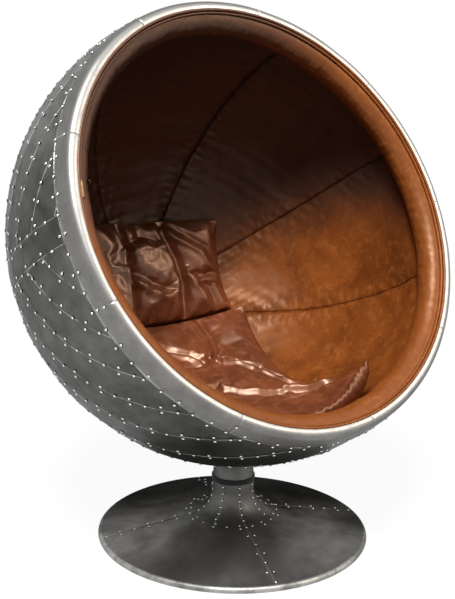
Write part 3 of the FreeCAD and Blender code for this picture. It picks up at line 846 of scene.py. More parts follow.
class CHAIR_OT_cladding(Operator):
    """Make the strips of the four quarters and the side belt"""

    bl_idname = "chair.cladding"
    bl_label = "Cladding"

    def execute(self, context):
        finish = cladding_finish()
        for rise, height in ((-1, "lower"), (1, "upper")):
            edges = quarter_edges(rise)
            for side, hand in ((1, "left"), (-1, "right")):
                grids = []
                for i, (low, high) in enumerate(zip(edges, edges[1:])):
                    seed = 100 + i + 40 * (rise > 0) + 400 * (side < 0)
                    panel = strip_panel(rise, low, high, seed)
                    if panel is None:
                        continue
                    outer, inner, lay = panel
                    mirror = np.array([side, 1, 1])
                    outer, inner = ball_to_world(outer * mirror), ball_to_world(inner * mirror)
                    grids.append((outer, inner, lay))
                points, faces, lay = gather(grids)
                make_piece("cladding_%s_%s_strips" % (height, hand), points, faces, "ball",
                           finish, ["cladding_%s_%s" % (height, hand)], lay,
                           SHEET_EDGE)
        points, faces, lay = gather([self.belt()])
        make_piece("side_belt_strap", points, faces, "ball", finish,
                   ["side_belt"], lay, SHEET_EDGE)
        return {"FINISHED"}

    def belt(self):
        """Strap from the ring seam round the back: rows across, columns round the y axis."""
        ball, clad = scene_sizes("chair_ball"), scene_sizes("chair_cladding")
        ring = ball.radius * math.cos(ball.ring_polar) - clad.seam / 2
        low, high = clad.belt_low + clad.seam / 2, clad.belt_high - clad.seam / 2
        bevel = clad.edge / (high - low)
        levels = low + (high - low) * bordered(6, bevel)
        reach = np.sqrt(ball.radius ** 2 - levels ** 2)
        start = -np.arcsin(ring / reach)
        share = bordered(160, 0.001)
        turns = start[:, None] + (math.pi - 2 * start)[:, None] * share[None]
        points = np.stack([reach[:, None] * np.cos(turns), levels[:, None] + 0 * turns,
                           -reach[:, None] * np.sin(turns)], axis=-1)
        drop = np.maximum(turned_down(len(levels))[:, None], turned_down(len(share))[None])
        outer, inner = hammered(points, waves(points, 0.12, 71), drop)
        # Turned-down edges get the painted highlight
        lay = sheet_lay(turns * reach[:, None], levels[:, None], 0.45, drop > 0)
        return ball_to_world(outer), ball_to_world(inner), lay


def lip_profile(radius_less=0.0, count=15):
    """(distance, level) from the ring seam over the rolled lip to its end inside."""
    ball = scene_sizes("chair_ball")
    out = (ball.radius - ball.lip_radius) * math.sin(ball.mouth_polar)
    level = (ball.radius - ball.lip_radius) * math.cos(ball.mouth_polar)
    turns = np.linspace(ball.mouth_polar, ball.lip_end, count)
    bead = ball.lip_radius - radius_less
    lip = np.stack([out + bead * np.sin(turns), level + bead * np.cos(turns)], axis=-1)
    seam_level = ball.radius * math.cos(ball.ring_polar) + scene_sizes("chair_cladding").seam / 2
    ball_radius = ball.radius - radius_less
    start = math.acos(seam_level / ball_radius)
    polar = np.linspace(start, ball.mouth_polar, 7)[:-1]
    face = np.stack([ball_radius * np.sin(polar), ball_radius * np.cos(polar)], axis=-1)
    return np.concatenate([face, lip])


class CHAIR_OT_front_band(Operator):
    """Make the front band with its rolled lip, in like segments"""

    bl_idname = "chair.front_band"
    bl_label = "Front band"

    def execute(self, context):
        ball, clad = scene_sizes("chair_ball"), scene_sizes("chair_cladding")
        outside, inside = lip_profile(), lip_profile(ball.sheet)
        pitch = 2 * math.pi / ball.segments
        gap = clad.seam / 2 / ball.radius
        share = bordered(49, 0.004)
        at_seam = np.arange(len(outside)) == 0
        drop = np.maximum(turned_down(len(share))[:, None], at_seam[None])
        grids = []
        for i in range(ball.segments):
            turns = i * pitch + gap + (pitch - 2 * gap) * share
            outer, inner = round_axis(outside, turns), round_axis(inside, turns)
            normal = outer - inner
            normal /= np.linalg.norm(normal, axis=-1, keepdims=True)
            lift = 0.7 * clad.dent * waves(outer, 0.13, 31) - 0.8 * clad.edge_drop * drop
            outer = outer + normal * lift[..., None]
            tone = 0.35 + 0.3 * np.random.default_rng(i + 5).uniform()
            # Turned-down edges get the painted highlight
            lay = sheet_lay(turns[:, None] * ball.radius, run_along(outside)[None], tone, drop > 0)
            grids.append((ball_to_world(outer), ball_to_world(inner), lay))
        points, faces, lay = gather(grids)
        make_piece("front_band_segments", points, faces, "ball", band_finish(),
                   ["front_band"], lay, SHEET_EDGE)
        return {"FINISHED"}


# Rivets

# How far behind the lip, in radians, each of the band's seams has its rivet
LIP_RIVET = 0.012
# Size of the pedestal's rivets beside the ball's
SMALL_RIVET = 0.75


def along_line(line, pitch, pair):
    """Rivets along a seam: one on it, then a pair across it, and so on.

    line is a row of points on the ball. The rivets miss its ends and are
    evenly spaced, near the pitch. A pair stands square to the seam, in the
    ball's surface.
    """
    run = run_along(line)[-1]
    if run < pitch * 0.7:
        return np.empty((0, 3))
    count = max(1, int(round(run / pitch)))
    at = (np.arange(count) + 0.5) * run / count
    places = at_distance(line, at)
    outward = places / np.linalg.norm(places, axis=1, keepdims=True)
    aside = np.cross(way_at(line, at, 0.002), outward) * pair / 2
    single, pair = places[::2], places[1::2]
    return np.concatenate([single, pair + aside[1::2], pair - aside[1::2]])


def ball_surface(points, edges_by_rise):
    """Distance of the cladding's surface from the centre: strips sag between their edges."""
    ball, clad = scene_sizes("chair_ball"), scene_sizes("chair_cladding")
    unit = points / np.linalg.norm(points, axis=1, keepdims=True)
    mirrored = unit * np.where(unit[:, :1] > 0, [-1.0, 1.0, 1.0], 1.0)
    radius = np.full(len(points), ball.radius)
    for rise in (-1, 1):
        w = strip_frame(rise)[0]
        latitude = np.arcsin(np.clip(mirrored @ w, -1, 1))
        edges = np.array(edges_by_rise[rise])
        index = np.clip(np.searchsorted(edges, latitude) - 1, 0, len(edges) - 2)
        low, high = edges[index], edges[index + 1]
        sag = ball.radius * np.cos((high - low) / 2) / np.cos(latitude - (low + high) / 2)
        height = unit[:, 1] * ball.radius
        here = (height > clad.belt_high) if rise > 0 else (height < clad.belt_low)
        here &= unit[:, 2] * ball.radius < ball.radius * math.cos(ball.ring_polar)
        radius = np.where(here, sag, radius)
    return unit * radius[:, None]


def seam_rivets():
    """Places of all the rivets of the ball, in its own frame."""
    ball, clad = scene_sizes("chair_ball"), scene_sizes("chair_cladding")
    found = []
    for rise in (-1, 1):
        axes = strip_frame(rise)
        w, u, v = axes
        limits = quarter_limits(rise, clad.rivet_pair * 0.45)
        for edge in quarter_edges(rise):
            height, reach = ball.radius * math.sin(edge), ball.radius * math.cos(edge)
            span = span_inside(height, reach, axes, limits)
            if not span:
                continue
            turns = np.linspace(span[0], span[1], 200)
            line = height * w + reach * (np.cos(turns)[:, None] * u + np.sin(turns)[:, None] * v)
            row = along_line(line, clad.rivet_pitch, clad.rivet_pair)
            found += [row, row * np.array([-1.0, 1.0, 1.0])]
        belt = clad.belt_high if rise > 0 else clad.belt_low
        # The belt's seam and the middle seam end a little before they meet another seam
        reach = math.sqrt(ball.radius ** 2 - belt ** 2)
        ring = ball.radius * math.cos(ball.ring_polar)
        start = -math.asin(ring / reach)
        turns = np.linspace(start, math.pi - start, 600)
        line = np.stack([reach * np.cos(turns), belt + 0 * turns, -reach * np.sin(turns)], axis=-1)
        found.append(along_line(line[8:-8], clad.rivet_pitch * 1.1, clad.rivet_pair))
        top = math.asin(belt / ball.radius)
        turns = np.linspace(top, rise * (math.pi / 2 + math.asin(ring / ball.radius)), 300)
        line = ball.radius * np.stack([0 * turns, np.sin(turns), -np.cos(turns)], axis=-1)
        found.append(along_line(line[6:-8], clad.rivet_pitch, clad.rivet_pair))
    turns = np.linspace(0, 2 * math.pi, 1200)
    ring_line = on_ball(ball.radius, ball.ring_polar, turns)
    found.append(along_line(ring_line, clad.rivet_pitch * 1.18, clad.rivet_pair))
    pitch = 2 * math.pi / ball.segments
    near_lip = ball.mouth_polar + LIP_RIVET
    found.append(on_ball(ball.radius, near_lip, np.arange(ball.segments) * pitch))
    edges = {rise: quarter_edges(rise) for rise in (-1, 1)}
    return ball_surface(np.concatenate(found), edges)


def single_then_pair(values, half):
    """Every second value twice, half to each side. Returns the values and how far aside each is."""
    single, pair = values[::2], values[1::2]
    aside = np.repeat([0.0, -half, half], [len(single), len(pair), len(pair)])
    return np.concatenate([single, pair, pair]), aside


def about_z(turns, outs, levels, normals, aside=0.0):
    """Places and normals at turns about Z: out and up along a profile, then aside."""
    c, s = np.cos(turns), np.sin(turns)
    places = np.stack([c * outs - s * aside, s * outs + c * aside, levels + 0 * c], axis=-1)
    normals = np.stack([c * normals[..., 0], s * normals[..., 0], normals[..., 1] + 0 * c], axis=-1)
    return places.reshape(-1, 3), np.broadcast_to(normals, places.shape).reshape(-1, 3)


def pedestal_rivets():
    """Rivets on the base panels' seams, round the neck's foot and up its staves, with normals."""
    size = scene_sizes("chair_pedestal")
    slope = panel_slope()
    up = np.array([math.sin(slope), math.cos(slope)])
    quarters = size.seam_angle + np.arange(4)[:, None] * math.pi / 2
    outs = np.arange(size.first_rivet, size.panel - 0.004, size.panel_pitch)
    outs, aside = single_then_pair(outs, scene_sizes("chair_cladding").rivet_pair / 2)
    levels = size.flare_height - (outs - size.flare) * math.tan(slope)
    found = [about_z(quarters, outs, levels, up, aside)]
    turns = size.seam_angle + (np.arange(size.foot_rivets) + 0.5) * 2 * math.pi / size.foot_rivets
    turns, shift = single_then_pair(turns, size.foot_pair)
    outs = size.flare + size.foot_out + shift
    # Inside the foot the neck is a third steeper than the panels
    steep = np.where(outs < size.flare, 1.35 * slope, slope)
    levels = size.flare_height - (outs - size.flare) * np.tan(steep)
    found.append(about_z(turns, outs, levels, up))
    profile = neck_profile()
    at = np.arange(0.008, run_along(profile)[-1] - 0.010, size.stave_pitch)
    outs, levels = at_distance(profile, at).T
    way = way_at(profile, at, 0.001)
    staves = size.seam_angle + np.arange(size.staves)[:, None] * 2 * math.pi / size.staves
    found.append(about_z(staves, outs, levels, np.stack([-way[:, 1], way[:, 0]], axis=-1)))
    return [np.concatenate(part) for part in zip(*found)]


class CHAIR_OT_rivets(Operator):
    """Make the dome rivets of the ball and of the pedestal"""

    bl_idname = "chair.rivets"
    bl_label = "Rivets"

    def execute(self, context):
        ball, clad = scene_sizes("chair_ball"), scene_sizes("chair_cladding")
        places = seam_rivets()
        world = ball_to_world(places)
        outward = ball_to_world(places * 1.1) - world
        outward /= np.linalg.norm(outward, axis=1, keepdims=True)
        collar = scene_sizes("chair_pedestal").collar_head + clad.rivet_radius
        clear = (np.hypot(world[:, 0], world[:, 1]) > collar) | (world[:, 2] > ball.height)
        self.heads("ball_rivets", "ball", world[clear], outward[clear], 1.0)
        self.heads("pedestal_rivets", "base", *pedestal_rivets(), SMALL_RIVET)
        return {"FINISHED"}

    def heads(self, name, body, places, normals, scale):
        """One piece of all the rivet heads on a body."""
        clad = scene_sizes("chair_cladding")
        points, faces, lay = domes(places, normals, clad.rivet_radius * scale,
                                   clad.rivet_height * scale)
        make_piece(name, points, faces, body, rivet_finish(), lay=lay)


# Leather

# Gap that keeps two pieces apart, and the width and height of a stitch's thread
CLEARANCE = 0.0003
THREAD_WIDTH = 0.0011
THREAD_HEIGHT = 0.0007


def gore_seams():
    """Azimuths of the lining's seams, starting with the one above the right side."""
    size = scene_sizes("chair_leather")
    half = size.side_gore / 2
    rest = (math.pi - size.side_gore) / (size.gore_pairs - 1)
    upper = [half + rest * i for i in range(size.gore_pairs)]
    return upper + [math.pi + a for a in upper] + [2 * math.pi + half]


# Angles from the mouth's axis at which the gores and their stitches end behind
GORE_END = math.radians(179.6)
STITCH_END = math.radians(176.0)
GORES = ("upper_right", "top", "upper_left", "left", "lower_left", "bottom", "lower_right", "right")


def lining_radius(polar, azimuth, seams, seed):
    """Radius of the lining's visible side.

    A pad between seams stands in a little. A seam's valley is a bell curve of
    the distance to it, and puckers run square to the seam and fade away from it.
    """
    size = scene_sizes("chair_leather")
    near = np.min([np.abs(azimuth - s) for s in seams], axis=0) * size.lining * np.sin(polar)
    place = on_ball(size.lining, polar, azimuth)
    valley = size.seam_depth * np.exp(-(near / size.seam_width) ** 2)
    pad = size.pad_rise * np.tanh(near / 0.05)
    turns = 2 * math.pi * size.lining * polar / size.pucker_pitch
    pucker = size.pucker * np.sin(turns + 2.2 * waves(place, 0.09, seed))
    pucker = pucker * np.exp(-(near / 0.030) ** 2) * np.clip(near / 0.008, 0, 1)
    crinkle = size.crinkle * waves(place, 0.032, seed + 3) * np.exp(-(near / 0.055) ** 2)
    slack = size.slack * waves(place, 0.16, seed + 5)
    slack = slack + size.fine_slack * waves(place, 0.05, seed + 9)
    return size.lining + valley - pad + pucker + crinkle + slack


class CHAIR_OT_lining(Operator):
    """Make the padded gores of the lining and their double stitches"""

    bl_idname = "chair.lining"
    bl_label = "Lining"

    def execute(self, context):
        size = scene_sizes("chair_leather")
        finish = lining_finish()
        seams = gore_seams()
        polar = np.linspace(size.front_polar, GORE_END, 170)[:, None]
        gap = size.gore_gap / size.lining
        for i, name in enumerate(GORES):
            azimuth = np.linspace(seams[i] + gap, seams[i + 1] - gap, 46)[None]
            radius = lining_radius(polar, azimuth, (seams[i], seams[i + 1]), 20 + i)
            visible = on_ball(radius, polar, azimuth)
            hidden = on_ball(np.full(radius.shape, size.lining_back), polar, azimuth)
            points, faces, _ = slab(ball_to_world(visible), ball_to_world(hidden))
            piece = make_piece("lining_%s_gore" % name, points, faces, "ball",
                               finish, ["lining_" + name])
        self.stitches(seams[:-1])
        return {"FINISHED"}

    def stitches(self, seams):
        """Two rows of stitches beside each seam, each a long low dome."""
        size = scene_sizes("chair_leather")
        run = np.arange(size.front_polar + 0.02, STITCH_END, size.stitch_gap / size.lining)
        valley = size.seam_depth * math.exp(-(size.stitch_aside / size.seam_width) ** 2)
        radius = size.lining + valley - CLEARANCE
        places, ahead = [], []
        for seam in seams:
            for side in (-1, 1):
                azimuth = seam + side * size.stitch_aside / (size.lining * np.sin(run))
                places.append(on_ball(radius, run, azimuth))
                ahead.append(on_ball(radius, run + 0.002, azimuth))
        places, ahead = np.concatenate(places), np.concatenate(ahead)
        world = ball_to_world(places)
        inward = world - ball_to_world(places * 1.1)
        points, faces = long_domes(world, inward, ball_to_world(ahead) - world, size.stitch,
                                   THREAD_WIDTH, THREAD_HEIGHT)
        thread = plain_finish("waxed_linen_thread", scene_sizes("chair_finishes").thread,
                              metallic=0.0, roughness=0.6, grain_scale=1500.0, grain_depth=0.0001)
        make_piece("lining_stitches", points, faces, "ball", thread)


def mouth_corners():
    """(distance, level) where the piping starts, where the roll starts, and where it ends."""
    size = scene_sizes("chair_leather")
    out, level = lip_profile()[-1]
    out = out - CLEARANCE
    back = (size.lining * math.sin(size.front_polar), size.lining * math.cos(size.front_polar))
    return (out, level), (out - size.piping, level - size.roll_foot), back


# Angles round the mouth, in degrees, of the roll's cross seams and of the piping's joints
ROLL_SEAMS = (-19.8, 54.3, 162.1, 196.2)
PIPING_JOINTS = (-112.1, -89.7, 93.2)
# Number of puckers round the roll
PUCKERS = 128
# Distances from the mouth's axis to the roll and to the piping, for widths along them
ROLL_REACH = 0.47
PIPING_REACH = 0.49
# How far the piping stands over the line from the lip to the roll
PIPING_RISE = 0.0004
# The stud: (distance, level) on the roll, and the angle in radians between it and the sleeve
STUD_PLACE = (0.4600, 0.1500)
STUD_ASIDE = 0.06


def nearest(turns, seams):
    """Angle from each turn to the nearest of the seams, which are in degrees."""
    around = [(turns - math.radians(seam) + math.pi) % (2 * math.pi) - math.pi for seam in seams]
    return np.min(np.abs(around), axis=0)


class CHAIR_OT_mouth_trim(Operator):
    """Make the padded roll, the double piping, the sleeve over it and the stud"""

    bl_idname = "chair.mouth_trim"
    bl_label = "Roll and piping"

    def execute(self, context):
        size = scene_sizes("chair_leather")
        finish = trim_finish()
        top, base, back = mouth_corners()
        self.roll(finish, base, back)
        beads = []
        for share in (0.25, 0.75):
            centre = np.array(top) + (np.array(base) - np.array(top)) * share + (0.0, PIPING_RISE)
            beads.append(closed_tube(self.bead(centre, size.bead)))
        points, faces = joined(beads)
        piece = make_piece("double_piping_beads", points, faces, "ball", finish,
                           ["double_piping"])
        self.sleeve(np.array(top), np.array(base))
        self.stud()
        return {"FINISHED"}

    def roll(self, finish, base, back):
        """Roll: an arc over the padding, closed behind, with cross seams and slight puckers."""
        size = scene_sizes("chair_leather")
        crest = arc_between((base[0], base[1] - CLEARANCE), back, size.roll_depth, 26)
        # Two corners on the roll's hidden side, by the lining's back and by the lip
        hidden = np.array([(size.lining_back * math.sin(size.front_polar) - 0.003, back[1] + 0.004),
                           (base[0] + size.piping + CLEARANCE, base[1] - 2 * CLEARANCE)])
        profile = np.concatenate([crest, hidden])
        turns = np.linspace(0, 2 * math.pi, 900, endpoint=False)
        grid = round_axis(profile, turns)
        middle = crest.mean(axis=0)
        out = round_axis(np.concatenate([crest - middle, np.zeros((2, 2))]), turns)
        out /= np.maximum(np.linalg.norm(out, axis=-1, keepdims=True), 1e-9)
        share = np.sin(np.linspace(0, math.pi, len(crest)))
        mask = np.concatenate([share, [0, 0]])
        rise = 0.0008 * waves(grid, 0.09, 61) + 0.0005 * waves(grid, 0.022, 62)
        edge = np.concatenate([np.linspace(0, 1, len(crest)) ** 3, [0, 0]])
        rise = rise + edge * size.roll_pucker * np.sin(PUCKERS * turns)[:, None]
        near = nearest(turns, ROLL_SEAMS) * ROLL_REACH
        groove = size.roll_seam * np.exp(-(near / 0.0035) ** 2)
        grid = grid + out * ((rise - groove[:, None]) * mask)[..., None]
        points, faces = closed_tube(ball_to_world(grid))
        piece = make_piece("rim_roll_pad", points, faces, "ball", finish,
                           ["rim_roll"])

    def bead(self, centre, radius):
        """Cord sewn in leather: a ring whose section is a circle, a little uneven."""
        turns = np.linspace(0, 2 * math.pi, 720, endpoint=False)
        section = np.linspace(0, 2 * math.pi, 12, endpoint=False)
        profile = centre + radius * np.stack([np.cos(section), np.sin(section)], axis=-1)
        grid = round_axis(profile, turns)
        away = grid - round_axis(np.repeat(centre[None], 12, axis=0), turns)
        near = nearest(turns, PIPING_JOINTS) * PIPING_REACH
        scale = 0.03 * waves(grid, 0.05, 81) - 0.16 * np.exp(-(near / 0.003) ** 2)[:, None]
        return ball_to_world(grid + away * scale[..., None])

    def sleeve(self, top, base):
        """Sleeve: an oval tube round both beads, drawn in at its ends."""
        size = scene_sizes("chair_leather")
        section = np.linspace(0, 2 * math.pi, 24, endpoint=False)[:, None]
        way = (base - top) / np.linalg.norm(base - top)
        side = np.array([-way[1], way[0]])
        centre = top + (base - top) * 0.51 - side * PIPING_RISE
        oval = (size.sleeve_width * np.cos(section) * way
                + size.sleeve_height * np.sin(section) * side)
        run = np.linspace(-1, 1, 21)
        turns = size.sleeve + run * size.sleeve_half / PIPING_REACH
        swell = np.sqrt(np.clip(1 - np.abs(run) ** 12, 0, 1)) * (1 + 0.03 * np.sin(run * 9))
        swell[[0, -1]] = 0.02
        grid = np.stack([round_axis(centre + here * oval, np.array([turn]))[0]
                         for turn, here in zip(turns, swell)])
        rows, columns = grid.shape[:2]
        quads = grid_quads(rows, columns, False, True)
        ends = [np.arange(columns)[None], (rows - 1) * columns + np.arange(columns)[None, ::-1]]
        normal = np.cross(grid[11, 0] - grid[10, 0], grid[10, 1] - grid[10, 0])
        if normal @ (grid[10, 0] - grid[10].mean(axis=0)) < 0:
            quads, ends = quads[:, ::-1], [e[:, ::-1] for e in ends]
        make_piece("piping_sleeve_wrap", ball_to_world(grid).reshape(-1, 3), [quads] + ends, "ball",
                   sleeve_finish(), ["piping_sleeve"])

    def stud(self):
        """Small metal stud on the roll beside the sleeve."""
        size = scene_sizes("chair_leather")
        place = round_axis(np.array([STUD_PLACE]), np.array([size.sleeve - STUD_ASIDE]))[0]
        world = ball_to_world(place)
        inward = ball_to_world(place * 0.9) - world
        inward /= np.linalg.norm(inward, axis=1, keepdims=True)
        points, faces, lay = domes(world, inward, size.stud_radius, size.stud_height, 12)
        make_piece("roll_stud", points, faces, "ball", rivet_finish(), lay=lay)


# Cushions

def segment_distance(across, along, start, end):
    """Signed distance in metres to the line from start to end, and how far beside its ends."""
    start, end = np.array(start), np.array(end)
    way = end - start
    run = np.linalg.norm(way)
    way /= run
    dx, dy = across - start[0], along - start[1]
    t = dx * way[0] + dy * way[1]
    past = np.maximum(np.maximum(-t, t - run), 0)
    return dx * way[1] - dy * way[0], past


# Radius of the ball's inside that the cushions lie on, the distance of their skin from the
# ball's centre, and the length of a degree on that skin
BED = 0.4868
SKIN = 0.42
DEGREE = 0.0075
# A valley this deep is sewn or pressed so firmly that the leather in it doesn't swell
FIRM_DEPTH = 0.011


def crease(across, along, path, depth, width, ridge):
    """Height change of a crease: a valley on the path with a soft ridge on its right.

    Valley and ridge are bell curves of the distance, the valley a little
    sharper. Also returns how firmly the crease holds the leather: near 1 in a
    deep valley.
    """
    best = np.full(across.shape, np.inf)
    signed = np.zeros(across.shape)
    for start, end in zip(np.array(path) * DEGREE, np.array(path[1:]) * DEGREE):
        d, past = segment_distance(across, along, start, end)
        away = np.hypot(d, past)
        signed = np.where(away < best, np.where(d < 0, -away, away), signed)
        best = np.minimum(best, away)
    valley = -depth * np.exp(-(best / width) ** 1.6)
    beside = ridge * depth * np.exp(-((signed - 1.9 * width) / (0.9 * width)) ** 2)
    return valley + beside, np.exp(-(best / (0.8 * width)) ** 2) * (depth > FIRM_DEPTH)


def folded(across, along, creases):
    """Sum of the creases' heights, and the firmest hold of them."""
    found = [crease(across, along, *one) for one in creases]
    return sum(height for height, _ in found), np.max([hold for _, hold in found], axis=0)


# Frames that the leather takes to settle, the air's pressure in it, how far it may swell, and
# the share that it is longer than the form it starts from
CLOTH_FRAMES = 20
CLOTH_PRESSURE = 1.5
CLOTH_REACH = 0.014
CLOTH_SLACK = 0.012


def inflated(points, faces, held):
    """Cloth simulation: air fills the leather, which stays where held is near 1.

    No point ends further than CLOTH_REACH from its start. The result is
    subdivided once.
    """
    mesh = bpy.data.meshes.new("cloth")
    mesh.from_pydata(points.tolist(), [], faces.tolist())
    work = bpy.data.objects.new("cloth", mesh)
    scene = bpy.context.scene
    scene.collection.objects.link(work)
    group = work.vertex_groups.new(name="held")
    firm = np.round(held, 1)
    for level in np.unique(firm[firm > 0]):
        group.add(np.flatnonzero(firm == level).tolist(), float(level), "REPLACE")
    cloth = work.modifiers.new("cloth", "CLOTH")
    settings = cloth.settings
    settings.quality = 5
    settings.mass = 0.3
    settings.tension_stiffness = settings.compression_stiffness = 15
    settings.shear_stiffness = 5
    settings.bending_stiffness = 2.0
    settings.use_pressure = True
    settings.uniform_pressure_force = CLOTH_PRESSURE
    settings.shrink_min = -CLOTH_SLACK
    settings.vertex_group_mass = group.name
    settings.effector_weights.gravity = 0
    cloth.point_cache.frame_end = CLOTH_FRAMES
    for step in range(1, CLOTH_FRAMES + 1):
        scene.frame_set(step)
    moved = np.empty(points.size, np.float32)
    done = work.evaluated_get(bpy.context.evaluated_depsgraph_get())
    done.data.vertices.foreach_get("co", moved)
    scene.frame_set(1)
    shift = moved.reshape(-1, 3) - points
    far = np.linalg.norm(shift, axis=1, keepdims=True)
    settled = points + shift * np.minimum(1.0, CLOTH_REACH / np.maximum(far, 1e-9))
    work.modifiers.remove(cloth)
    mesh.vertices.foreach_set("co", settled.astype(np.float32).ravel())
    work.modifiers.new("subdivided", "SUBSURF").levels = 1
    done = work.evaluated_get(bpy.context.evaluated_depsgraph_get()).to_mesh()
    smooth = np.empty(len(done.vertices) * 3, np.float32)
    done.vertices.foreach_get("co", smooth)
    corners = np.empty(len(done.loops), np.int32)
    done.loops.foreach_get("vertex_index", corners)
    bpy.data.objects.remove(work)
    return smooth.reshape(-1, 3), corners.reshape(-1, 4)


def pillow_grid(count_across, count_along):
    """Shares across and along in -1 to 1, closer together at the edges."""
    a, b = [0.35 * np.sin(np.linspace(-math.pi / 2, math.pi / 2, count))
            + 0.65 * np.linspace(-1, 1, count) for count in (count_across, count_along)]
    return np.meshgrid(a, b, indexing="ij")


def cushion_place(turn, elevation, radius):
    """World point at a turn aside and an elevation seen from the ball's centre."""
    ball = scene_sizes("chair_ball")
    flat = radius * np.cos(turn)
    return np.stack([radius * np.sin(turn), flat * np.cos(elevation) - ball.forward,
                     flat * np.sin(elevation) + ball.height], axis=-1)


def make_cushion(name, shape, replaces, finish):
    """Closed pad: top and bottom skins meet in a welt, then the leather settles as cloth.

    shape gives place, thickness, the welt's height and the creases' hold.
    """
    a, b = pillow_grid(100, 120)
    turn, elevation, thick, seam, hold = shape(a, b)
    edge = ((1 - np.abs(a) ** 7) * (1 - np.abs(b) ** 9)) ** 0.5
    top = seam + (thick - seam) * edge
    bottom = seam - (seam - 0.0012) * edge
    upper = cushion_place(turn, elevation, BED - top)
    lower = cushion_place(turn, elevation, BED - bottom)
    rows, columns = a.shape
    count = rows * columns
    rim = rim_of(rows, columns)
    keep = np.ones(count, bool)
    keep[rim] = False
    index = np.arange(count)
    index[keep] = count + np.arange(keep.sum())
    points = np.concatenate([upper.reshape(-1, 3), lower.reshape(-1, 3)[keep]])
    skin = grid_quads(rows, columns)
    under = index[skin][:, ::-1]
    middle = (rows // 2, columns // 2)
    normal = np.cross(upper[middle[0] + 1, middle[1]] - upper[middle],
                      upper[middle[0], middle[1] + 1] - upper[middle])
    if normal @ (upper[middle] - lower[middle]) < 0:
        skin, under = skin[:, ::-1], under[:, ::-1]
    held = np.concatenate([hold.ravel(), np.ones(keep.sum())])
    held[rim] = 1.0
    points, faces = inflated(points, np.concatenate([skin, under]), held)
    piece = make_piece(name, points, [faces], "ball", finish, replaces)


# Elevation of a cushion's middle, half its extent up, half its width at its corners and how far
# its sides are drawn in, all in degrees
BACK_ANGLES = (-19.0, 17.8, 29.3, 1.5)
SEAT_ANGLES = (-82.0, 44.4, 32.6, 2.4)
# Thickness near a cushion's edge, how much thicker its middle is, and its welt's height
BACK_EDGE, BACK_CROWN, BACK_WELT = 0.034, 0.040, 0.013
SEAT_EDGE, SEAT_CROWN, SEAT_WELT = 0.032, 0.060, 0.015
# Least thickness of a cushion under its folds
THINNEST = 0.020
# How far the seat's front welt stands up, how much more it does at its right corner, the depth
# of the tuck behind it, and the height and pitch of its gathers
FRONT_RISE = 0.013
CORNER_RISE = 0.036
TUCK = 0.008
GATHERS = 0.0030
GATHER_PITCH = 0.021
# Creases: (degrees aside, elevation in degrees) along the path, depth and width in metres, and
# the ridge beside it as a share of the depth
BACK_CREASES = (
    ([(-10.0, 2.0), (-8.4, -10.5), (-9.0, -20.5), (-8.5, -38.0)], 0.026, 0.0100, 0.25),
    ([(6.0, 2.0), (8.5, -7.0), (11.5, -15.0), (12.8, -24.0), (11.0, -38.0)], 0.026, 0.0125, 0.3),
    ([(7.5, -1.0), (15.5, -6.0), (23.5, -11.5), (29.0, -21.0)], 0.008, 0.011, 1.0),
    ([(-7.0, -19.5), (-0.5, -23.5), (5.0, -26.0)], 0.009, 0.014, 0.8),
    ([(-7.5, -8.5), (-2.0, -6.0), (4.0, -7.5)], 0.008, 0.013, 0.8),
    ([(19.5, -22.0), (24.5, -22.0), (30.0, -24.5)], 0.010, 0.011, 0.8),
    ([(17.5, -22.0), (22.0, -28.0), (24.0, -36.5)], 0.007, 0.012, 0.8),
    ([(-22.0, 2.0), (-20.0, -16.0), (-22.0, -36.0)], 0.013, 0.012, 0.6),
)
SEAT_CREASES = (
    ([(15.0, -36.0), (16.0, -48.0), (14.0, -55.5), (11.0, -60.0)], 0.014, 0.009, 0.7),
    ([(-14.0, -47.0), (-4.5, -50.5), (3.0, -55.0), (7.0, -61.0)], 0.014, 0.013, 0.9),
    ([(10.5, -63.0), (17.0, -65.0), (22.5, -71.0), (28.5, -86.0)], 0.016, 0.011, 1.0),
    ([(0.0, -84.0), (9.0, -91.0), (19.5, -97.0), (27.0, -106.0)], 0.026, 0.011, 1.1),
    ([(-22.0, -50.0), (-12.0, -62.0), (6.0, -63.0)], 0.011, 0.014, 0.9),
    ([(-30.0, -70.0), (-14.0, -78.0), (2.0, -79.0)], 0.010, 0.016, 0.8),
    ([(-24.0, -95.0), (-5.0, -101.0), (12.0, -98.0)], 0.008, 0.014, 0.8),
)
# The knot in the seat that folds run to: its place in degrees, its depth, the number of its
# rays and their height
KNOT = (11.0, -60.0)
KNOT_DEPTH = 0.014
KNOT_RAYS = 9
RAY_HEIGHT = 0.004


def cushion_angles(a, b, middle, half, width, draw):
    """Turn and elevation at shares of a cushion whose sides are drawn in, and how far it swells."""
    elevation = np.radians(middle) + np.radians(half) * b
    swell = np.cos(b * math.pi / 2)
    return a * np.radians(width - draw * swell), elevation, swell


def back_shape(a, b):
    """Back cushion: crowned, drawn in at its sides, with the folds that sitting left in it."""
    turn, elevation, swell = cushion_angles(a, b, *BACK_ANGLES)
    turn = turn + np.radians(0.4) * np.sin(3 * b + 1)
    place = cushion_place(turn, elevation, SKIN)
    x, y = np.degrees(turn) * DEGREE, np.degrees(elevation) * DEGREE
    thick = BACK_EDGE + BACK_CROWN * swell ** 0.7 * (1 - 0.75 * a ** 2)
    fold, hold = folded(x, y, BACK_CREASES)
    fold = fold + 0.0030 * waves(place, 0.18, 201) + 0.0014 * waves(place, 0.055, 202)
    return turn, elevation, np.maximum(thick + fold, THINNEST), np.full(a.shape, BACK_WELT), hold


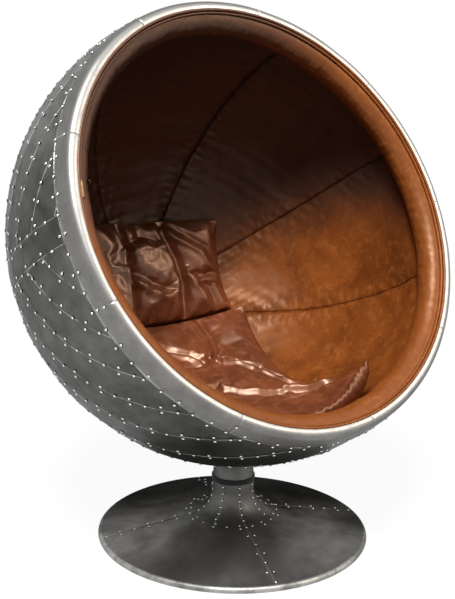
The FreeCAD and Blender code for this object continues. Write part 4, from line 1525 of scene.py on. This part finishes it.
def seat_shape(a, b):
    """Seat cushion: thick under the sitter, with a knot, folds and a front welt that stands up."""
    turn, elevation, swell = cushion_angles(a, b, *SEAT_ANGLES)
    place = cushion_place(turn, elevation, SKIN)
    x, y = np.degrees(turn) * DEGREE, np.degrees(elevation) * DEGREE
    thick = SEAT_EDGE + SEAT_CROWN * swell ** 0.8 * (1 - 0.7 * a ** 2)
    fold, hold = folded(x, y, SEAT_CREASES)
    aside, above = x - KNOT[0] * DEGREE, y - KNOT[1] * DEGREE
    knot = np.hypot(aside, above)
    rays = np.sin(KNOT_RAYS * np.arctan2(above, aside) + 1.0)
    fold = (fold - KNOT_DEPTH * np.exp(-knot / 0.010)
            + RAY_HEIGHT * rays * np.exp(-((knot - 0.022) / 0.016) ** 2))
    hold = np.maximum(hold, np.exp(-(knot / 0.006) ** 2))
    fold = fold + 0.0035 * waves(place, 0.18, 211) + 0.0017 * waves(place, 0.05, 212)
    corner = np.exp(-((a - 1) / 0.62) ** 2)
    rising = np.exp(-((b + 1) / 0.42) ** 2)
    thick = thick + CORNER_RISE * corner * rising
    gathers = np.sin(2 * math.pi * x / GATHER_PITCH + 1.5 * waves(place, 0.06, 213))
    gathers = GATHERS * np.exp(-((b + 1) / 0.07) ** 2) * gathers
    fold = fold + gathers - TUCK * np.exp(-((b + 0.945) / 0.022) ** 2)
    seam = SEAT_WELT + rising * (FRONT_RISE + CORNER_RISE * corner) + gathers
    return turn, elevation, np.maximum(thick + fold, THINNEST), seam, hold


class CHAIR_OT_cushions(Operator):
    """Make the loose seat cushion and back cushion with their folds"""

    bl_idname = "chair.cushions"
    bl_label = "Cushions"

    def execute(self, context):
        finish = cushion_finish()
        make_cushion("back_cushion_pad", back_shape, ["back_cushion"], finish)
        make_cushion("seat_cushion_pad", seat_shape, ["seat_cushion"], finish)
        return {"FINISHED"}


# Pedestal

# Depth of a sheet's turned-down edge, and the dents' height in the staves and in the panels
PANEL_DROP = 0.0008
STAVE_DENT = 0.0003
PANEL_DENT = 0.0005


def panel_slope():
    """Slope of the base panels."""
    size = scene_sizes("chair_pedestal")
    return math.atan2(size.flare_height - size.panel_height, size.panel - size.flare)


def neck_profile(count=18):
    """(distance, level) down the neck: upright, then an arc, then on the panels' slope."""
    size = scene_sizes("chair_pedestal")
    slope = panel_slope()
    out = size.neck + size.flare_arc
    up = (size.flare_height + (size.flare - out) * math.tan(slope)
          + size.flare_arc / math.cos(slope))
    turns = np.linspace(math.pi / 2, slope, count)
    arc = (out, up) - size.flare_arc * np.stack([np.sin(turns), np.cos(turns)], axis=-1)
    upright = np.stack([np.full(6, size.neck), np.linspace(size.neck_top, up, 7)[:-1]], axis=-1)
    return np.concatenate([upright, arc, [(size.flare, size.flare_height)]])


def sector(profile, start, pitch, count, tone, dent, seed):
    """Grids of a sheet turned about Z between two seams, with its side edges turned down."""
    sheet, clad = scene_sizes("chair_ball").sheet, scene_sizes("chair_cladding")
    share = bordered(count, 0.25 / (count - 1), half=0.48)
    gap = clad.seam / 2 / profile[:, 0].mean()
    turns = start + gap + (pitch - 2 * gap) * share
    drop = turned_down(len(share))[:, None]
    outer = round_axis(profile, turns)
    inner = round_axis(profile - profile_normals(profile) * sheet, turns)
    lift = dent * waves(outer, 0.10, seed) - PANEL_DROP * drop
    # Side edges get a quarter of the painted highlight
    lay = sheet_lay(run_along(profile)[None], turns[:, None] * profile[None, :, 0], tone,
                    0.25 * (drop > 0))
    return outer + (outer - inner) / sheet * lift[..., None], inner, lay


def profile_normals(profile):
    """Directions square to a profile, to its right."""
    way = np.gradient(profile, axis=0)
    way /= np.linalg.norm(way, axis=1, keepdims=True)
    return np.stack([-way[:, 1], way[:, 0]], axis=-1)


class CHAIR_OT_pedestal(Operator):
    """Make collar, neck, base panels and edge ring"""

    bl_idname = "chair.pedestal"
    bl_label = "Pedestal"

    def execute(self, context):
        size = scene_sizes("chair_pedestal")
        finish = base_finish()
        profile = neck_profile()
        pitch = 2 * math.pi / size.staves
        grids = [sector(profile, size.seam_angle + i * pitch, pitch, 12,
                        0.3 + 0.5 * ((i * 7) % 5) / 5, STAVE_DENT, 300 + i)
                 for i in range(size.staves)]
        points, faces, lay = gather(grids)
        make_piece("neck_staves", points, faces, "base", finish, ["neck"], lay,
                   SHEET_EDGE)
        line = np.stack([np.linspace(size.flare, size.panel, 40),
                         np.linspace(size.flare_height, size.panel_height, 40)], axis=-1)
        for i, name in enumerate(("front", "right", "back", "left")):
            grid = sector(line, size.seam_angle + i * math.pi / 2, math.pi / 2, 60,
                          0.25 + 0.4 * ((i * 3) % 4) / 4, PANEL_DENT, 320 + i)
            points, faces, lay = gather([grid])
            make_piece("base_panel_%s_sheet" % name, points, faces, "base",
                       finish, ["base_panel_" + name], lay, SHEET_EDGE)
        self.edge_ring(finish)
        self.collar(finish)
        return {"FINISHED"}

    def edge_ring(self, finish):
        """Rolled edge of the base: a bulged section carried round."""
        size = scene_sizes("chair_pedestal")
        inner = size.panel + CLEARANCE
        foot = 0.001
        head = size.panel_height + 2 * CLEARANCE
        crest = arc_between((inner + size.ring_width, foot), (inner, head), size.ring_crown, 14)
        profile = np.concatenate([crest, [(inner, foot)]])
        grid = round_axis(profile, np.linspace(0, 2 * math.pi, 240, endpoint=False))
        points, faces = closed_tube(grid)
        # The whole ring gets 0.3 of the bright edge colour: a painted highlight
        lay = sheet_lay(points[:, 0], points[:, 1], 0.6, 0.3)
        make_piece("edge_ring_roll", points, faces, "base", finish,
                   ["edge_ring"], lay, RING_EDGE)

    def collar(self, finish):
        """Sleeve under the ball: slightly waisted, flared at its top to the ball's skin."""
        size, ball = scene_sizes("chair_pedestal"), scene_sizes("chair_ball")
        turns = np.linspace(0, 2 * math.pi, 144, endpoint=False)
        share = np.linspace(0, 1, 26)
        below, above = size.collar_foot - size.collar, size.collar_head - size.collar
        out = size.collar + below * (1 - share) ** 3 + above * share ** 6
        reach_x, reach_y = np.cos(turns)[:, None] * out, np.sin(turns)[:, None] * out
        drop = np.sqrt((ball.radius - 0.0004) ** 2 - reach_x[:, -1] ** 2
                       - (reach_y[:, -1] + ball.forward) ** 2)
        top = ball.height - drop
        levels = size.collar_low + (top[:, None] - size.collar_low) * share[None]
        outer = np.stack([reach_x, reach_y, levels], axis=-1)
        thin = 1 - ball.sheet / out
        inner = np.stack([reach_x * thin, reach_y * thin, levels], axis=-1)
        grid = np.concatenate([outer, inner[:, ::-1]], axis=1)
        points, faces = closed_tube(grid)
        round_it = np.arctan2(points[:, 1], points[:, 0]) * size.collar
        lay = sheet_lay(points[:, 2], round_it, 0.55, 0.0)
        make_piece("collar_sleeve", points, faces, "ball", finish, ["collar"],
                   lay, RING_EDGE)


# Finishes of the hidden pieces: name, colour, metallic, roughness, grains per metre, grain depth
HIDDEN_FINISHES = {
    "hull": ("moulded_glass_fibre", "#B7B09C", 0.0, 0.55, 90.0, 0.0004),
    "levelling_block": ("birch_plywood", "#B58B58", 0.0, 0.6, 60.0, 0.0003),
    "bearing_ring": ("black_nylon", "#141414", 0.0, 0.42, 700.0, 0.0001),
    "swivel_bush": ("black_nylon", "#141414", 0.0, 0.42, 700.0, 0.0001),
    "ballast_plate": ("cast_iron", "#2B2B2C", 0.9, 0.6, 400.0, 0.0003),
    "former": ("black_painted_steel", "#1C1C1D", 0.2, 0.45, 500.0, 0.0002),
    "column": ("black_painted_steel", "#1C1C1D", 0.2, 0.45, 500.0, 0.0002),
    "floor_pad": ("wool_felt", "#1E1D1C", 0.0, 0.95, 1200.0, 0.0005),
}
STEEL = ("turned_steel", "#A6A8AA", 1.0, 0.3, 800.0, 0.0001)
STEEL_NODES = ("backing_plate", "hub_bolts", "hub_nuts", "swivel_hub", "spindle", "spindle_nut",
               "column_bolts")


class CHAIR_OT_inner_pieces(Operator):
    """Finish the pieces that stay as they are: hull, hub, spindle, column and the rest"""

    bl_idname = "chair.inner_pieces"
    bl_label = "Inner pieces"

    def execute(self, context):
        finishes = dict(HIDDEN_FINISHES)
        finishes.update({name: STEEL for name in STEEL_NODES})
        for name, (title, *values) in finishes.items():
            finish = plain_finish(title, *values)
            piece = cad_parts[name]
            if not piece.material_slots:
                piece.data.materials.append(finish)
            for slot in piece.material_slots:
                slot.material = finish
        return {"FINISHED"}


# Stage

WHITE = (1.0, 1.0, 1.0, 1.0)
FLOOR_COLOUR = (0.10, 0.10, 0.10, 1.0)


def seen_directly(tree):
    """1 for camera, glossy and transmission rays, else 0."""
    path = node(tree, "ShaderNodeLightPath")
    seen = node(tree, "ShaderNodeMath", [(path, "Is Camera Ray", 0), (path, "Is Glossy Ray", 1)],
                operation="ADD")
    return node(tree, "ShaderNodeMath", [(seen, "Value", 0), (path, "Is Transmission Ray", 1)],
                operation="ADD", use_clamp=True)


def stage_finish():
    """Seamless white floor: it takes the chair's shadow near by and is plain white far off."""
    material, tree = new_material("white_backdrop")
    if tree is None:
        return material
    seen = seen_directly(tree)
    place = node(tree, "ShaderNodeTexCoord")
    away = node(tree, "ShaderNodeVectorMath", [(place, "Object", 0)], operation="LENGTH")
    far = node(tree, "ShaderNodeMapRange", [(away, "Value", "Value")],
               inputs={"From Min": 0.9, "From Max": 3.0})
    matt = node(tree, "ShaderNodeBsdfDiffuse", inputs={"Color": FLOOR_COLOUR})
    glow = node(tree, "ShaderNodeEmission", inputs={"Color": WHITE, "Strength": 0.95})
    white = node(tree, "ShaderNodeEmission", inputs={"Color": WHITE, "Strength": 1.0})
    near = node(tree, "ShaderNodeAddShader", [(matt, "BSDF", 0), (glow, "Emission", 1)])
    seen_floor = node(tree, "ShaderNodeMixShader",
                      [(far, "Result", 0), (near, "Shader", 1), (white, "Emission", 2)])
    mixed = node(tree, "ShaderNodeMixShader",
                 [(seen, "Value", 0), (matt, "BSDF", 1), (seen_floor, "Shader", 2)])
    node(tree, "ShaderNodeOutputMaterial", [(mixed, "Shader", "Surface")])
    return material


# What the lamps look at, and each lamp's distance from there, angle from straight up, turn,
# width and watts
AIM = (0.0, 0.0, 0.75)
KEY_LAMP = (6.0, math.radians(32.0), math.radians(-132.0), 1.9, 540)
SHINE_LAMP = (5.0, math.radians(60.0), math.radians(-56.0), 2.2, 90)
SHINE_COLOUR = (1.0, 0.84, 0.68)
FLOOR_REACH = 30.0
# The camera: its place from the ball's centre, its turn, tilt and roll in radians, its lens in mm
CAMERA_AWAY = (-1.3014, -1.7071, 0.236)
CAMERA_TURN = -0.638
CAMERA_TILT = 0.180
CAMERA_ROLL = 0.019
CAMERA_LENS = 54.9


def lamp(name, away, from_up, turn, width, watts, colour=WHITE[:3]):
    """Square area lamp that looks at the chair from a distance and two angles."""
    data = bpy.data.lights.new(name, "AREA")
    data.size = width
    data.energy = watts
    data.color = colour
    made = bpy.data.objects.new(name, data)
    way = Vector(on_ball(away, from_up, turn))
    made.location = Vector(AIM) + way
    made.rotation_euler = (-way).to_track_quat("-Z", "Y").to_euler()
    bpy.context.scene.collection.objects.link(made)
    return made


class CHAIR_OT_stage(Operator):
    """Make the floor, the lamps and the camera"""

    bl_idname = "chair.stage"
    bl_label = "Stage"

    def execute(self, context):
        scene = context.scene
        scene.view_settings.view_transform = "Standard"
        mesh = bpy.data.meshes.new("floor")
        signs = ((-1, -1), (1, -1), (1, 1), (-1, 1))
        mesh.from_pydata([(x * FLOOR_REACH, y * FLOOR_REACH, 0) for x, y in signs],
                         [], [(0, 1, 2, 3)])
        mesh.materials.append(stage_finish())
        floor = bpy.data.objects.new("floor", mesh)
        scene.collection.objects.link(floor)
        self.world(scene)
        lamp("key_lamp", *KEY_LAMP)
        shine = lamp("shine_lamp", *SHINE_LAMP, SHINE_COLOUR)
        shine.visible_diffuse = False
        self.camera(scene)
        return {"FINISHED"}

    def world(self, scene):
        """White to the eye and in reflections, soft grey as light."""
        world = bpy.data.worlds.new("studio")
        world.use_nodes = True
        tree = world.node_tree
        tree.nodes.clear()
        strength = node(tree, "ShaderNodeMapRange", [(seen_directly(tree), "Value", "Value")],
                        inputs={"To Min": 0.025, "To Max": 1.0})
        glow = node(tree, "ShaderNodeBackground", [(strength, "Result", "Strength")],
                    inputs={"Color": WHITE})
        node(tree, "ShaderNodeOutputWorld", [(glow, "Background", "Surface")])
        scene.world = world

    def camera(self, scene):
        """Camera where the photo's outlines say that it stood."""
        ball = scene_sizes("chair_ball")
        data = bpy.data.cameras.new("camera")
        data.sensor_fit = "AUTO"
        data.sensor_width = 36.0
        data.lens = CAMERA_LENS
        camera = bpy.data.objects.new("camera", data)
        camera.location = Vector(CAMERA_AWAY) + Vector((0.0, -ball.forward, ball.height))
        away = Vector((math.sin(CAMERA_TURN) * math.cos(CAMERA_TILT),
                       -math.cos(CAMERA_TURN) * math.cos(CAMERA_TILT), math.sin(CAMERA_TILT)))
        look = (-away).to_track_quat("-Z", "Y").to_matrix().to_4x4()
        camera.matrix_world = (Matrix.Translation(camera.location) @ look
                               @ Matrix.Rotation(CAMERA_ROLL, 4, "Z"))
        scene.collection.objects.link(camera)
        scene.camera = camera


class CHAIR_PT_panel(Panel):
    """Lists the chair's pieces and sizes"""

    bl_idname = "CHAIR_PT_panel"
    bl_label = "Ball Chair"
    bl_space_type = "VIEW_3D"
    bl_region_type = "UI"
    bl_category = "Ball Chair"

    def draw(self, context):
        for operator in OPERATORS:
            self.layout.operator(operator.bl_idname)
        for name, group in GROUPS.items():
            box = self.layout.box()
            box.label(text=group.__doc__)
            for key in group.__annotations__:
                box.prop(getattr(context.scene, name), key)


GROUPS = {"chair_ball": BallSizes, "chair_cladding": CladdingSizes,
          "chair_leather": LeatherSizes, "chair_pedestal": PedestalSizes,
          "chair_finishes": Finishes}
OPERATORS = (CHAIR_OT_stage, CHAIR_OT_inner_pieces, CHAIR_OT_cladding, CHAIR_OT_front_band,
             CHAIR_OT_rivets, CHAIR_OT_lining, CHAIR_OT_mouth_trim, CHAIR_OT_cushions,
             CHAIR_OT_pedestal)


def register():
    """Registers the groups, the operators and the panel."""
    for name, group in GROUPS.items():
        bpy.utils.register_class(group)
        setattr(bpy.types.Scene, name, PointerProperty(type=group))
    for operator in OPERATORS:
        bpy.utils.register_class(operator)
    bpy.utils.register_class(CHAIR_PT_panel)


def unregister():
    """Takes them out again."""
    bpy.utils.unregister_class(CHAIR_PT_panel)
    for operator in reversed(OPERATORS):
        bpy.utils.unregister_class(operator)
    for name, group in GROUPS.items():
        delattr(bpy.types.Scene, name)
        bpy.utils.unregister_class(group)


def main():
    """Makes every piece in order."""
    register()
    for operator in OPERATORS:
        group, name = operator.bl_idname.split(".")
        getattr(getattr(bpy.ops, group), name)()


if __name__ == "__main__":
    main()
